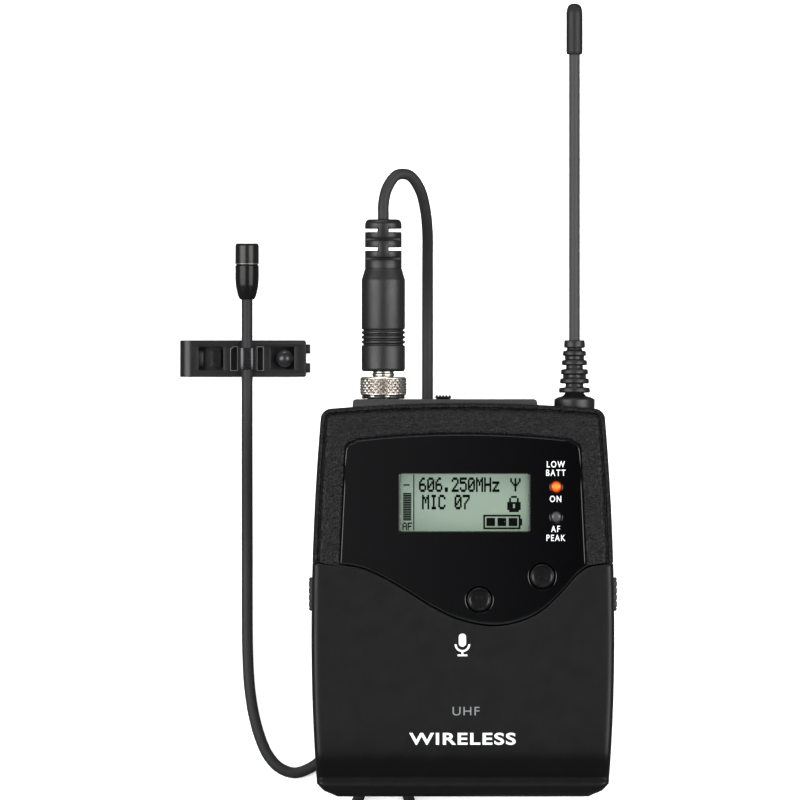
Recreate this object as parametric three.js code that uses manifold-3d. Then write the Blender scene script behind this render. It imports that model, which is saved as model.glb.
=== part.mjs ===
// A lavalier microphone with its tie clip, cable, screw-lock plug and body-pack transmitter.
// Units are millimetres, +Z is up. The set lies on a surface at z = 0, the pack's display facing up,
// and y = 0 is the plane of the pack's top plate.
import * as THREE from 'three';
import { mergeVertices } from 'three/addons/utils/BufferGeometryUtils.js';
import Module from 'manifold-3d';

const wasm = await Module();
wasm.setup();

// ---- driving dimensions -------------------------------------------------------------------------
const PACK_X = 13.3;            // the pack's middle, across
const PACK_Z = 9;               // the pack's back face above the surface, on its belt clip
const DEPTH = 24;               // pack, back to front
const BOTTOM = -82;             // the pack's lower end
const SPLIT = 12;               // height of the seam between the back shell and the front
const WALL = 1.6;
const SEAM = 0.15;              // half of the gap along a seam
const HALF_WIDTH = 31.3;        // at the pack's widest
const PLUG_X = -16.44;          // plug axis, from the pack's middle
const ANTENNA_X = 23.1;         // antenna axis, from the pack's middle
const SOCKET_Z = 12;            // both axes, from the pack's back
const ANTENNA_TOP = 82;
const RECESS_Z = 23;            // floor of the shallow recess that holds the glossy panel
const FRONT_WALL_Z = 22.4;      // inside of the front wall
const COVER_WALL_Z = 22.2;      // inside of the battery cover's front
const BOARD_TOP = 17.6;
const BATTERY_R = 7.25;
const BATTERY_HALF = 25.25;     // half of an AA cell's length
const BATTERY_Y = [-55.7, -70.7];
const BATTERY_Z = 11.5;
const HINGE = { y: -79.8, z: 19.2, barrel: 2.2, pin: 0.8, bore: 1.0, half: 25.6 };
const HINGE_LUG = { from: 20.3, to: 23.7, r: 2, room: 2.8 };
const SKIRT_END = -78.4;        // the cover's sides stop here, above the back shell's lip
const LIP_TOP = 16.4;
const DISPLAY = { x: 0.33, y: -21.2, width: 26.6, height: 11.9 };
const LED_X = 19.27;
const POWER_LED_Y = -17.96;
const PEAK_LED_Y = -24.21;
const DOWN = { x: 3.39, y: -41.27 };
const UP = { x: 16.4, y: -36.43 };
const KEY_R = 2.5;
const POWER_KEY = { x: -21, y: -41.2 };
const SET_KEY = { x: -12.8, y: -44.2 };
const MUTE_X = -4.05;
const SCREWS = [[-25.6, -14.5], [25.6, -14.5], [-25.6, -29.5], [25.6, -29.5]];
const BAIL = {                  // the belt clip's wire, and the lugs it turns in
  wire: 1.1, half: 20, low: -7.9, end: -68, corner: 6, hingeY: -21.5, hingeZ: -2.6, lugR: 2.3, bore: 1.4,
};
const CABLE_R = 1.15;
const MIC_X = -31.39;
const MIC_Z = 6.25;             // the cable's height where the tie clip holds it
const CLIP = { left: -45.3, right: -19.14, low: 4.72, high: 12.34, z: 4.2, sheet: 0.6 };
const CLIP_Y = 8.5;             // the tie clip's middle
const CLIP_HINGE = { x: -42.9, z: 2.4, pin: 0.5 };

// ---- colours and finishes -----------------------------------------------------------------------
// Each finish is [colour, roughness, metalness].
const SHELL = [0x2b2c2e, 0.55];
const PANEL = [0x141517, 0.12];
const KEY = [0x1c1c1e, 0.45];
const RUBBER = [0x202122, 0.7];
const STEEL = [0xb4b2ad, 0.3, 1];
const NICKEL = [0xcac4ba, 0.25, 1];
const BLACKENED = [0x3a3b3d, 0.35, 1];
const BRASS = [0xc9a25a, 0.3, 1];
const BOARD = [0x1f5a36, 0.5];
const CABLE = [0x3c3d3f, 0.6];

// ---- solids ---------------------------------------------------------------------------------------
// A closed three.js geometry as a solid that can be cut and joined.
function solid(geometry) {
  const bare = geometry.clone();
  bare.deleteAttribute('normal');
  bare.deleteAttribute('uv');
  const merged = mergeVertices(bare, 1e-4);
  const points = merged.getAttribute('position').array;
  const triangles = [];
  let volume = 0;
  for (let i = 0; i < merged.index.count; i += 3) {
    const [a, b, c] = [0, 1, 2].map((k) => merged.index.getX(i + k));
    if (a === b || b === c || c === a) continue;
    triangles.push([a, b, c]);
    const [p, q, r] = [a, b, c].map((k) => new THREE.Vector3().fromArray(points, 3 * k));
    volume += p.dot(q.cross(r));
  }
  const ordered = volume < 0 ? triangles.map(([a, b, c]) => [a, c, b]) : triangles;
  return new wasm.Manifold(new wasm.Mesh({
    numProp: 3,
    vertProperties: new Float32Array(points),
    triVerts: new Uint32Array(ordered.flat()),
  }));
}

function geometryOf(body) {
  const mesh = body.getMesh();
  const geometry = new THREE.BufferGeometry();
  geometry.setAttribute('position', new THREE.BufferAttribute(mesh.vertProperties, 3));
  geometry.setIndex(new THREE.BufferAttribute(mesh.triVerts, 1));
  geometry.computeVertexNormals();
  return geometry;
}

const join = (...bodies) => bodies.reduce((whole, next) => whole.add(next));
const cut = (body, ...tools) => tools.reduce((rest, tool) => rest.subtract(tool), body);

function piece(name, body, finish, parent) {
  const [color, roughness, metalness = 0] = finish;
  const material = new THREE.MeshStandardMaterial({ color, roughness, metalness });
  const mesh = new THREE.Mesh(geometryOf(body), material);
  mesh.name = name;
  parent.add(mesh);
}

function block(x0, x1, y0, y1, z0, z1) {
  const geometry = new THREE.BoxGeometry(x1 - x0, y1 - y0, z1 - z0);
  return solid(geometry.translate((x0 + x1) / 2, (y0 + y1) / 2, (z0 + z1) / 2));
}

// A straight extrusion of an outline, from z0 to z1.
function plate(outline, z0, z1) {
  const geometry = new THREE.ExtrudeGeometry(new THREE.Shape(outline), { depth: z1 - z0, bevelEnabled: false });
  return solid(geometry.translate(0, 0, z0));
}

function rodZ(x, y, z0, z1, r, sides = 16) {
  const geometry = new THREE.CylinderGeometry(r, r, z1 - z0, sides).rotateX(Math.PI / 2);
  return solid(geometry.translate(x, y, (z0 + z1) / 2));
}

function rodY(x, z, y0, y1, r, sides = 16) {
  return solid(new THREE.CylinderGeometry(r, r, y1 - y0, sides).translate(x, (y0 + y1) / 2, z));
}

function rodX(x0, x1, y, z, r, sides = 16) {
  const geometry = new THREE.CylinderGeometry(r, r, x1 - x0, sides).rotateZ(Math.PI / 2);
  return solid(geometry.translate((x0 + x1) / 2, y, z));
}

// A turned piece about a line along Y. The profile is a list of [radius, y].
function turned(x, z, profile, sides = 20) {
  const points = profile.map(([r, y]) => new THREE.Vector2(r, y));
  return solid(new THREE.LatheGeometry(points, sides).translate(x, 0, z));
}

function ringY(x, z, y0, y1, inner, outer, sides = 20) {
  return turned(x, z, [[inner, y0], [outer, y0], [outer, y1], [inner, y1], [inner, y0]], sides);
}

// A tube along hand-placed points; steps is the number of its segments.
function tube(points, r, steps, sides = 8) {
  const path = new THREE.CatmullRomCurve3(points.map((p) => new THREE.Vector3(...p)), false, 'centripetal');
  const section = new THREE.Shape();
  section.absarc(0, 0, r, 0, 2 * Math.PI);
  const geometry = new THREE.ExtrudeGeometry(section, { extrudePath: path, steps, curveSegments: sides / 2 });
  return solid(geometry);
}

// A stack of matching outlines, closed at both ends; rings lists [z, inset].
function shell(outlineAt, rings) {
  const count = outlineAt(0).length;
  const positions = rings.flatMap(([z, inset]) => outlineAt(inset).flatMap((p) => [p.x, p.y, z]));
  const index = [];
  for (let k = 0; k + 1 < rings.length; k += 1) {
    for (let i = 0; i < count; i += 1) {
      const [a, b] = [k * count + i, k * count + ((i + 1) % count)];
      index.push(a, b, b + count, a, b + count, a + count);
    }
  }
  const last = (rings.length - 1) * count;
  for (const [a, b, c] of THREE.ShapeUtils.triangulateShape(outlineAt(rings.at(-1)[1]), [])) {
    index.push(last + a, last + b, last + c);
  }
  for (const [a, b, c] of THREE.ShapeUtils.triangulateShape(outlineAt(rings[0][1]), [])) {
    index.push(a, c, b);
  }
  const geometry = new THREE.BufferGeometry();
  geometry.setAttribute('position', new THREE.Float32BufferAttribute(positions, 3));
  geometry.setIndex(index);
  return solid(geometry);
}

// ---- outlines -----------------------------------------------------------------------------------
const v2 = (x, y) => new THREE.Vector2(x, y);

// The pack's slightly barrelled half width at a height.
function halfWidth(y) {
  const off = y + 49.5;
  return HALF_WIDTH - (off > 0 ? 9.2e-4 : 1.29e-3) * off * off;
}

// The pack seen from the front, every edge moved in by inset, anticlockwise.
function packOutline(inset) {
  const right = [v2(25.9 - inset * 0.4, BOTTOM + inset), v2(28.9 - inset * 0.8, -80.7 + inset * 0.7)];
  for (const y of [-79, -72, -64, -56, -48, -40, -32, -24, -16, -9]) right.push(v2(halfWidth(y) - inset, y));
  const radius = 2.3 - inset;
  for (let k = 0; k <= 3; k += 1) {
    const angle = (k * Math.PI) / 6;
    right.push(v2(27 + radius * Math.cos(angle), -4.1 + radius * Math.sin(angle)));
  }
  for (const x of [18, 9]) right.push(v2(x, -0.67 - 1.55e-3 * x * x - inset));
  const left = right.map((p) => v2(-p.x, p.y)).reverse();
  return [...right, v2(0, -0.67 - inset), ...left];
}

// The battery cover's curved upper edge, from the left side to the right.
const coverEdge = new THREE.SplineCurve([
  v2(-32, -33.6), v2(-25, -34), v2(-20.9, -34.7), v2(-17, -36.3), v2(-5.9, -42.9), v2(-0.4, -45.4),
  v2(6.2, -46.6), v2(11.8, -45.7), v2(16.2, -43.5), v2(20.6, -39.4), v2(24.5, -35.2), v2(26, -34.2),
  v2(32, -33.5),
]).getPoints(26);
const above = (gap) => [...coverEdge.map((p) => v2(p.x, p.y + gap)), v2(32, 3), v2(-32, 3)];
const below = (gap) => [v2(-32, -90), v2(32, -90), ...coverEdge.map((p) => v2(p.x, p.y - gap)).reverse()];

// The glossy panel: arched top, splayed sides, and the cover's curve below.
function panelOutline(inset) {
  const low = coverEdge.filter((p) => Math.abs(p.x) < 24.6).map((p) => v2(p.x, p.y + 0.45 + inset));
  const top = [];
  for (let k = 0; k <= 6; k += 1) {
    const x = (23.35 - inset) * (1 - k / 3);
    top.push(v2(x, -7.05 - 2.6e-3 * x * x - inset));
  }
  return [...low, v2(25.5 - inset, -33.5 + inset), v2(24.4 - inset, -9.7), ...top, v2(-24.4 + inset, -9.7),
    v2(-25.4 + inset, -33.1 + inset)];
}

// Two round ends joined by straight sides.
function stadium(a, b, r) {
  const along = Math.atan2(b.y - a.y, b.x - a.x);
  const arc = (c, start) => Array.from({ length: 9 }, (_, k) => {
    const angle = start + (k * Math.PI) / 8;
    return v2(c.x + r * Math.cos(angle), c.y + r * Math.sin(angle));
  });
  return [...arc(b, along - Math.PI / 2), ...arc(a, along + Math.PI / 2)];
}

// ---- pack: shells ---------------------------------------------------------------------------------
const BACK_ROUND = [[0, 1.6], [0.5, 0.6], [1.6, 0]];
const FRONT_ROUND = [[22.9, 0], [23.6, 0.35], [DEPTH, 1.1]];

// Openings through the shells' top wall, shared by both halves.
function topOpenings() {
  return [block(-22.5, 15.1, -3.5, 1, 5, 19), rodY(ANTENNA_X, SOCKET_Z, -6, 1, 1.6)];
}

function rearHousing() {
  const outer = shell(packOutline, [...BACK_ROUND, [SPLIT - SEAM, 0]]);
  const pocket = plate(packOutline(WALL), WALL, SPLIT + 1);
  const lip = plate(packOutline(0), SPLIT - 1, LIP_TOP)
    .intersect(block(-32, 32, BOTTOM, SKIRT_END - 0.4, 10, 18))
    .subtract(plate(packOutline(WALL), 10, 18));
  const bosses = SCREWS.map(([x, y]) => rodZ(x, y, 1, 4, 3.2));
  const lugs = [-1, 1].map((side) => {
    const [x0, x1] = [HINGE_LUG.from * side, HINGE_LUG.to * side].sort((a, b) => a - b);
    const lug = join(rodX(x0, x1, HINGE.y, HINGE.z, HINGE_LUG.r), block(x0, x1, -80.9, -79.3, 1, HINGE.z));
    return lug.subtract(rodX(x0 - 1, x1 + 1, HINGE.y, HINGE.z, HINGE.bore));
  });
  const clipLugs = [-1, 1].map((side) => {
    const [x0, x1] = [22 * side, 26.5 * side].sort((a, b) => a - b);
    const { hingeY: y, hingeZ: z, lugR: r } = BAIL;
    const lug = join(rodX(x0, x1, y, z, r), block(x0, x1, y - r, y + r, z, 1));
    return lug.subtract(rodX(x0 - 1, x1 + 1, y, z, BAIL.bore));
  });
  const screwHoles = SCREWS.flatMap(([x, y]) => [rodZ(x, y, -1, 2.2, 2.3), rodZ(x, y, -1, 5, 1.25, 12)]);
  return cut(join(outer.subtract(pocket), lip, ...bosses, ...lugs, ...clipLugs), ...screwHoles, ...topOpenings());
}

function frontHousing() {
  const outer = shell(packOutline, [[SPLIT + SEAM, 0], ...FRONT_ROUND]).intersect(plate(above(SEAM), 10, 26));
  const boardRoom = plate(packOutline(WALL), SPLIT - 1, BOARD_TOP + 0.5);
  const room = plate(packOutline(WALL), SPLIT - 1, FRONT_WALL_Z).intersect(plate(above(1.4), 10, 26));
  const bosses = SCREWS.map(([x, y]) => rodZ(x, y, 4.4, FRONT_WALL_Z + 0.3, 2.6));
  const { x, y, width, height } = DISPLAY;
  const holes = [
    plate(panelOutline(0), RECESS_Z, DEPTH + 1),
    block(x - width / 2, x + width / 2, y - height / 2, y + height / 2, 20, 24),
    ...[POWER_LED_Y, PEAK_LED_Y].map((ledY) => rodZ(LED_X, ledY, 20, 24, 1.25)),
    ...[UP, DOWN].map((key) => rodZ(key.x, key.y, 20, 24, KEY_R + 0.3)),
    ...SCREWS.map(([sx, sy]) => rodZ(sx, sy, 3, 10, 1.15)),
  ];
  return cut(join(cut(outer, boardRoom, room), ...bosses), ...holes, ...topOpenings());
}

function displayPanel() {
  const { x, y, width, height } = DISPLAY;
  const edge = 0.25;
  return cut(
    plate(panelOutline(edge), RECESS_Z + edge, DEPTH - 0.05),
    block(x - width / 2, x + width / 2, y - height / 2, y + height / 2, 22, 25),
    ...[POWER_LED_Y, PEAK_LED_Y].map((ledY) => rodZ(LED_X, ledY, 22, 25, 1.25)),
    ...[UP, DOWN].map((key) => rodZ(key.x, key.y, 22, 25, KEY_R + 0.3)),
  );
}

function displayWindow() {
  const { x, y, width, height } = DISPLAY;
  const [w, h] = [width / 2 - 0.25, height / 2 - 0.25];
  return block(x - w, x + w, y - h, y + h, RECESS_Z + 0.3, DEPTH - 0.1);
}

function lcdFrame() {
  return block(-15.4, 16, -30, -12.6, 17.9, 22).subtract(block(-14.2, 14.8, -28.6, -14, 19, 23));
}

function lcdModule() {
  return block(-13.9, 14.5, -28.3, -14.3, 19.3, 21.7);
}

function statusLed(y) {
  return join(rodZ(LED_X, y, 17.9, 23.9, 1), rodZ(LED_X, y, 17.9, 19.2, 1.5));
}

function frontKey({ x, y }) {
  return join(rodZ(x, y, 20.1, DEPTH + 0.15, KEY_R), rodZ(x, y, 20.1, 21.1, 3.1));
}

function buttonMat() {
  return plate(stadium(v2(DOWN.x, DOWN.y), v2(UP.x, UP.y), 3.1), 17.9, 19.3);
}

function topPlate() {
  const flange = block(-22.8, 15.4, -0.36, 0.15, 4.6, 19.4);
  const body = block(-22.2, 14.8, -2.6, -0.2, 5.3, 18.7);
  const slot = block(MUTE_X - 4, MUTE_X + 4, -4, 1, 10.5, 13.5);
  return cut(join(flange, body), slot, rodY(PLUG_X, SOCKET_Z, -4, 1, 4.6));
}

function muteSlider() {
  const ribs = [-2, -1, 0, 1, 2].map((k) => {
    const x = MUTE_X + 0.66 * k;
    return block(x - 0.2, x + 0.2, 0.6, 0.95, 9, 15);
  });
  const knob = block(MUTE_X - 1.65, MUTE_X + 1.65, 0.35, 0.7, 9, 15);
  return join(knob, block(MUTE_X - 1.5, MUTE_X + 1.5, -3.4, 0.5, 11, 13), ...ribs);
}

// ---- pack: inside ---------------------------------------------------------------------------------
function shieldCan() {
  return block(-10.8, 14, -34, -16, 11.5, 16.3).subtract(block(-10.4, 13.6, -33.6, -16.4, 11.9, 17));
}

function batteryTray() {
  const bed = block(-28.6, 28.6, -79, -47.3, 2, 12.5);
  const wall = block(-28.6, 28.6, -48.05, -47.3, 2, 20.2);
  const ends = [-28.6, 27.2].map((x) => block(x, x + 1.4, -78.3, -47.4, 2, 16.9));
  const deck = plate(below(0.6), 19.1, 20.2).intersect(block(-27.2, 27.2, -48, -30, 18, 21));
  const bays = BATTERY_Y.map((y) => rodX(-27.2, 27.2, y, BATTERY_Z, BATTERY_R + 0.4, 24));
  const keyHoles = [POWER_KEY, SET_KEY].map(({ x, y }) => rodZ(x, y, 17, 22, 2.5));
  const body = join(bed, wall, ...ends, deck).intersect(plate(packOutline(WALL + 0.4), 0, 22));
  const contactSlots = [-27, 25.7].map((x) => block(x, x + 1.3, -78, -48.8, 6.6, 18));
  return cut(body, ...bays, ...keyHoles, ...contactSlots);
}

function innerKey({ x, y }) {
  return join(rodZ(x, y, 18.2, 21.3, 2.1), rodZ(x, y, 18.2, 18.8, 2.8));
}

// An AA cell whose raised end points along +x or -x.
function battery(y, toward) {
  const [low, high] = toward > 0 ? [0, 1] : [1, 0];
  const body = rodX(low - BATTERY_HALF, BATTERY_HALF - high, y, BATTERY_Z, BATTERY_R, 24);
  return join(body, rodX(low ? -BATTERY_HALF : 20, low ? -20 : BATTERY_HALF, y, BATTERY_Z, 2.7));
}

function batteryContact(side) {
  const [x0, x1] = [26.1 * side, 26.6 * side].sort((a, b) => a - b);
  return block(x0, x1, -77.6, -49.2, 7, 16);
}

function batteryCover() {
  const outer = shell(packOutline, [[SPLIT + SEAM, 0], ...FRONT_ROUND]).intersect(plate(below(SEAM), 10, 26));
  const pocket = plate(packOutline(1.4), SPLIT - 1, COVER_WALL_Z);
  const underHinge = block(-33, 33, -90, SKIRT_END, 10, HINGE.z);
  const barrel = rodX(-31, 31, HINGE.y, HINGE.z, HINGE.barrel).intersect(plate(packOutline(0), 10, DEPTH));
  const lugRoom = [-1, 1].map((side) => {
    const [x0, x1] = [(HINGE_LUG.from - 0.3) * side, (HINGE_LUG.to + 0.3) * side].sort((a, b) => a - b);
    return rodX(x0, x1, HINGE.y, HINGE.z, HINGE_LUG.room);
  });
  const bore = rodX(-HINGE.half, HINGE.half, HINGE.y, HINGE.z, HINGE.bore);
  const catchWindows = [-1, 1].map((side) => {
    const [x0, x1] = [29 * side, 33 * side].sort((a, b) => a - b);
    return block(x0, x1, -43.9, -36.4, 14.9, 21.6);
  });
  return cut(join(cut(outer, pocket, underHinge), barrel), bore, ...lugRoom, ...catchWindows);
}

function coverHingePin() {
  const half = HINGE.half - 0.4;
  return rodX(-half, half, HINGE.y, HINGE.z, HINGE.pin);
}

// A side catch: the ribbed pad outside, and a wider foot that keeps it in its window.
function sideCatch(side) {
  const span = (a, b) => [a * side, b * side].sort((p, q) => p - q);
  const pad = block(...span(28.3, 31.55), -43.6, -36.7, 15.2, 21.3);
  const ribs = [0, 1, 2, 3, 4].map((k) => {
    const y = -43.5 + 1.45 * k;
    return block(...span(31.2, 32), y, y + 0.9, 15.2, 21.3);
  });
  return join(pad, block(...span(28.3, 29.1), -44.6, -35.7, 14, 21.8), ...ribs);
}

function jackSocket() {
  return turned(PLUG_X, SOCKET_Z, [
    [1.95, -18], [4.28, -18], [4.28, 0.55], [3.5, 0.55], [3.5, -3.4], [1.95, -3.4], [1.95, -18],
  ]);
}

function caseScrew([x, y]) {
  const slot = block(x - 1.5, x + 1.5, y - 0.25, y + 0.25, 0, 0.9);
  return cut(join(rodZ(x, y, 0.4, 1.9, 1.95), rodZ(x, y, 1.8, 9, 1, 10)), slot);
}

// ---- belt clip: a sprung wire bail on two lugs -----------------------------------------------------
function beltClip() {
  const { wire, half, hingeY, hingeZ, low, end, corner } = BAIL;
  const right = [
    [26.2, hingeY, hingeZ], [23.6, hingeY, hingeZ], [21.3, hingeY, hingeZ], [half, hingeY - 1.4, hingeZ - 0.5],
    [half, hingeY - 4.6, -5.2], [half, hingeY - 7.6, -7.2], [half, hingeY - 11, low], [half, -48, low],
    [half, end + corner, low], [half - corner * 0.3, end + corner * 0.3, low], [half - corner, end, low],
    [4, end, low],
  ];
  const left = right.map(([x, y, z]) => [-x, y, z]).reverse();
  return tube([...right, ...left], wire, 40);
}

// ---- antenna ----------------------------------------------------------------------------------------
function antennaBase() {
  return turned(ANTENNA_X, SOCKET_Z, [[0, -9.5], [2.6, -9.5], [2.6, -3.6], [1.3, -3.6], [1.3, 4], [0, 4]], 16);
}

function antennaBoot() {
  const ribs = [0, 1, 2, 3, 4].flatMap((k) => {
    const [y, r, neck] = [2 + 1.9 * k, 3.2 - 0.2 * k, 2.3 - 0.12 * k];
    return [[neck, y - 0.45], [r, y - 0.45], [r, y + 0.45], [neck, y + 0.45]];
  });
  return turned(ANTENNA_X, SOCKET_Z, [
    [0, 4.4], [1.6, 4.4], [1.6, -1.15], [4.2, -1.15], [4.2, 0.1], [3.4, 0.5], [2.4, 1.1], ...ribs,
    [1.8, 10.9], [2.15, 10.9], [2.15, 12.34], [1.3, 12.34], [1.3, 5.6], [0, 5.6],
  ], 14);
}

function antennaTip() {
  return turned(ANTENNA_X, SOCKET_Z, [
    [0, 75.8], [1.3, 75.8], [1.3, 71.4], [1.55, 71.4], [1.7, 71.7], [1.7, 80.3], [1.45, 81.2], [0.85, 81.8],
    [0, ANTENNA_TOP],
  ]);
}

// ---- plug -------------------------------------------------------------------------------------------
function lockNut() {
  return turned(PLUG_X, SOCKET_Z, [
    [2.35, -2.6], [3.2, -2.6], [3.2, 0.85], [4.5, 0.85], [4.75, 1.1], [4.75, 4.45], [4.5, 4.72], [2.35, 4.72],
    [2.35, 3.3], [3.3, 3.3], [3.3, 1.7], [2.35, 1.7], [2.35, -2.6],
  ], 18);
}

function plugBarrel() {
  return turned(PLUG_X, SOCKET_Z, [
    [0.9, -11.7], [1.75, -11.7], [1.75, -3.4], [2.12, -3.1], [2.12, 7.5], [3.2, 7.5], [3.2, 9.5], [0.9, 9.5],
    [0.9, -11.7],
  ]);
}

function plugTip() {
  return turned(PLUG_X, SOCKET_Z, [
    [0, -17.6], [0.7, -17.4], [1.6, -16.2], [1.2, -15.4], [1.75, -14.6], [1.75, -13.3], [0.6, -13.3], [0.6, 9],
    [0, 9],
  ], 20);
}

function plugSleeve() {
  const grooves = [0, 1, 2, 3].flatMap((k) => {
    const y = 11.45 + 0.98 * k;
    return [[4.5, y - 0.2], [4.15, y - 0.1], [4.15, y + 0.1], [4.5, y + 0.2]];
  });
  return turned(PLUG_X, SOCKET_Z, [
    [2.45, 5.85], [4.1, 5.85], [4.4, 6.1], [4.5, 6.5], ...grooves, [4.5, 24.8], [3.85, 27.1], [1.9, 27.1], [1.9, 23],
    [3.5, 23], [3.5, 7.2], [2.45, 7.2], [2.45, 5.85],
  ], 16);
}

// The strain relief: slots cut from its sides and from its front and back, in turn.
function plugBoot() {
  const body = turned(PLUG_X, SOCKET_Z, [
    [0, 23.5], [1.6, 23.5], [1.6, 27.4], [3.8, 27.4], [3.8, 36.6], [3.3, 37.35], [0, 37.35],
  ]);
  const web = 1.05;
  const slots = [30.85, 34.7].flatMap((y) => [-1, 1].map((side) => {
    const [x0, x1] = [PLUG_X + web * side, PLUG_X + 5 * side].sort((a, b) => a - b);
    return block(x0, x1, y, y + 0.65, SOCKET_Z - 5, SOCKET_Z + 5);
  }));
  const cross = [28.9, 32.9].flatMap((y) => [-1, 1].map((side) => {
    const [z0, z1] = [SOCKET_Z + web * side, SOCKET_Z + 5 * side].sort((a, b) => a - b);
    return block(PLUG_X - 5, PLUG_X + 5, y, y + 0.6, z0, z1);
  }));
  return cut(body, ...slots, ...cross);
}

// ---- microphone and tie clip -------------------------------------------------------------------------
function micBody() {
  return turned(MIC_X, MIC_Z, [
    [0, 20.76], [1.3, 20.76], [1.55, 21.2], [2.1, 22.6], [2.44, 24.5], [2.44, 27.9], [1.9, 27.9], [1.9, 24.8], [0, 24.8],
  ]);
}

function micCap() {
  const cap = turned(MIC_X, MIC_Z, [
    [1.9, 28.2], [2.44, 28.2], [2.44, 31.95], [2.15, 32.43], [0, 32.43], [0, 31.9], [1.9, 31.9], [1.9, 28.2],
  ]);
  const holes = [0, 1, 2, 3, 4, 5].map((k) => {
    const angle = (k * Math.PI) / 3;
    return rodY(MIC_X + 1.1 * Math.cos(angle), MIC_Z + 1.1 * Math.sin(angle), 31, 33, 0.25, 6);
  });
  return cut(cap, rodY(MIC_X, MIC_Z, 31, 33, 0.25, 8), ...holes);
}

// The front plate with its four windows, curled over the hinge at its left end.
function clipPlate() {
  const { left, right, low, high, z, sheet } = CLIP;
  const top = z + sheet;
  const flat = block(CLIP_HINGE.x, right, low, high, z, top);
  const curl = ringY(CLIP_HINGE.x, CLIP_HINGE.z, low, high, top - CLIP_HINGE.z - sheet, CLIP_HINGE.x - left, 32)
    .intersect(block(left - 1, CLIP_HINGE.x, low, high, 1.3, top + 1));
  const ears = [[low, low + 0.8], [high - 0.8, high]].map(([y0, y1]) => join(
    rodY(CLIP_HINGE.x, CLIP_HINGE.z, y0, y1, 1.2),
    block(CLIP_HINGE.x - 1, CLIP_HINGE.x + 1, y0, y1, CLIP_HINGE.z, z + 0.1),
  ));
  const windows = [[-41.3, -36.4], [-34.7, -32.5], [-30.3, -28.1], [-26.3, -21.6]]
    .map(([x0, x1]) => block(x0, x1, 6.1, 10.9, 3, 6));
  const corners = [[low, -1], [high, 1]].map(([y, side]) => block(right - 0.6, right + 1, y - 0.5, y + 0.5, 3, 6)
    .subtract(rodZ(right - 0.6, y - 0.6 * side, 2, 7, 0.6)));
  return cut(join(flat, curl, ...ears), ...windows, ...corners,
    rodY(CLIP_HINGE.x, CLIP_HINGE.z, low - 1, high + 1, CLIP_HINGE.pin + 0.15));
}

// A closed band over the cable: an arch above the plate, its foot below the plate's middle bridge.
function cableBand() {
  const outline = (r, foot) => {
    const arc = Array.from({ length: 13 }, (_, k) => {
      const angle = (k * Math.PI) / 12;
      return v2(r * Math.cos(angle), r * Math.sin(angle));
    });
    return [...arc, v2(-r, foot), v2(r, foot)];
  };
  const length = 4.2;
  const shape = new THREE.Shape(outline(1.65, -3));
  shape.holes.push(new THREE.Path(outline(1.35, -2.65)));
  const geometry = new THREE.ExtrudeGeometry(shape, { depth: length, bevelEnabled: false }).rotateX(Math.PI / 2);
  return solid(geometry.translate(MIC_X, CLIP_Y + length / 2, MIC_Z));
}

function clipHingePin() {
  return rodY(CLIP_HINGE.x, CLIP_HINGE.z, CLIP.low + 0.1, CLIP.high - 0.1, CLIP_HINGE.pin, 12);
}

function clipJaw() {
  const leaf = block(-41, -20.5, 5.2, 11.9, 0, CLIP.sheet);
  const prongs = [[9.6, 11.5], [5.65, 7.6]].map(([y0, y1]) => block(-21, -18.3, y0, y1, 0, 2.6));
  const knuckle = rodY(CLIP_HINGE.x, CLIP_HINGE.z, 6.9, 10.1, 1.3);
  const arm = block(-43.4, -40.5, 6.9, 10.1, 0, 2);
  return join(leaf, ...prongs, arm, knuckle)
    .subtract(rodY(CLIP_HINGE.x, CLIP_HINGE.z, 4, 13, CLIP_HINGE.pin + 0.15));
}

// A tongue that stands up under the left window and ends in a row of teeth.
function clipTeeth() {
  const edge = Array.from({ length: 9 }, (_, k) => v2(k % 2 ? -39.1 : -38.5, 6.7 + 0.45 * k));
  return plate([v2(-36.8, 6.7), ...edge, v2(-36.8, 10.3)], 0.9, 3.7);
}

function clipDome() {
  const profile = [v2(0, 0), v2(1.6, 0), v2(1.6, 1.6), v2(1.3, 2.3), v2(0.7, 2.7), v2(0, 2.8)];
  const dome = new THREE.LatheGeometry(profile, 16).rotateX(Math.PI / 2);
  return solid(dome.translate(-23.75, CLIP_Y, 0.3 + CLIP.sheet));
}

// ---- cable ------------------------------------------------------------------------------------------
// Centre lines as the cable lies: out of the plug, over and down to the surface, under the pack and on
// to the coil; then from the coil past the pack's corner and up to the tie clip and the microphone.
const PLUG_RUN = [
  [-3.14, 37.65, 21], [-3.1, 40.6, 20.9], [-2.3, 43.9, 20.2], [-0.3, 46.5, 18.9], [2.3, 46.4, 17.1], [4.4, 43.6, 15],
  [5.5, 39.6, 12.2], [6, 34.8, 8.9], [6.03, 29, 5.4], [6.03, 22.5, 2.6], [6.03, 16, 1.4], [6.03, 8, 1.2],
  [5.9, -8, 1.2], [5.2, -26, 1.2], [3.8, -44, 1.2], [2.4, -56, 1.3], [1.6, -62, 2.4], [0.8, -68, 3.75],
  [0.6, -74, 2.4], [1.2, -79.5, 1.3], [2.9, -84.6, 1.2], [5.3, -88.8, 1.2],
];
const MIC_RUN = [
  [-11.9, -89.3, 4.4], [-9.7, -85.6, 2.6], [-7.9, -81.6, 1.4], [-7.2, -78, 1.2], [-8.6, -74.8, 1.2],
  [-11.8, -73.2, 1.2], [-15, -74, 1.2], [-18, -76.2, 1.2], [-21.5, -77.4, 1.2], [-24.6, -76.4, 1.2],
  [-26.9, -74, 1.2], [-28.6, -70.4, 1.2],
  [-30, -65.4, 1.2], [-30.9, -59.5, 1.2], [-31.3, -52, 1.2], [-31.39, -42, 1.2], [-31.39, -34, 1.3],
  [-31.39, -27, 1.9], [-31.39, -19, 3.4], [-31.39, -11, 5.1], [-31.39, -4, 6.15], [-31.39, 4, 6.25],
  [-31.39, 20.4, 6.25],
];
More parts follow.
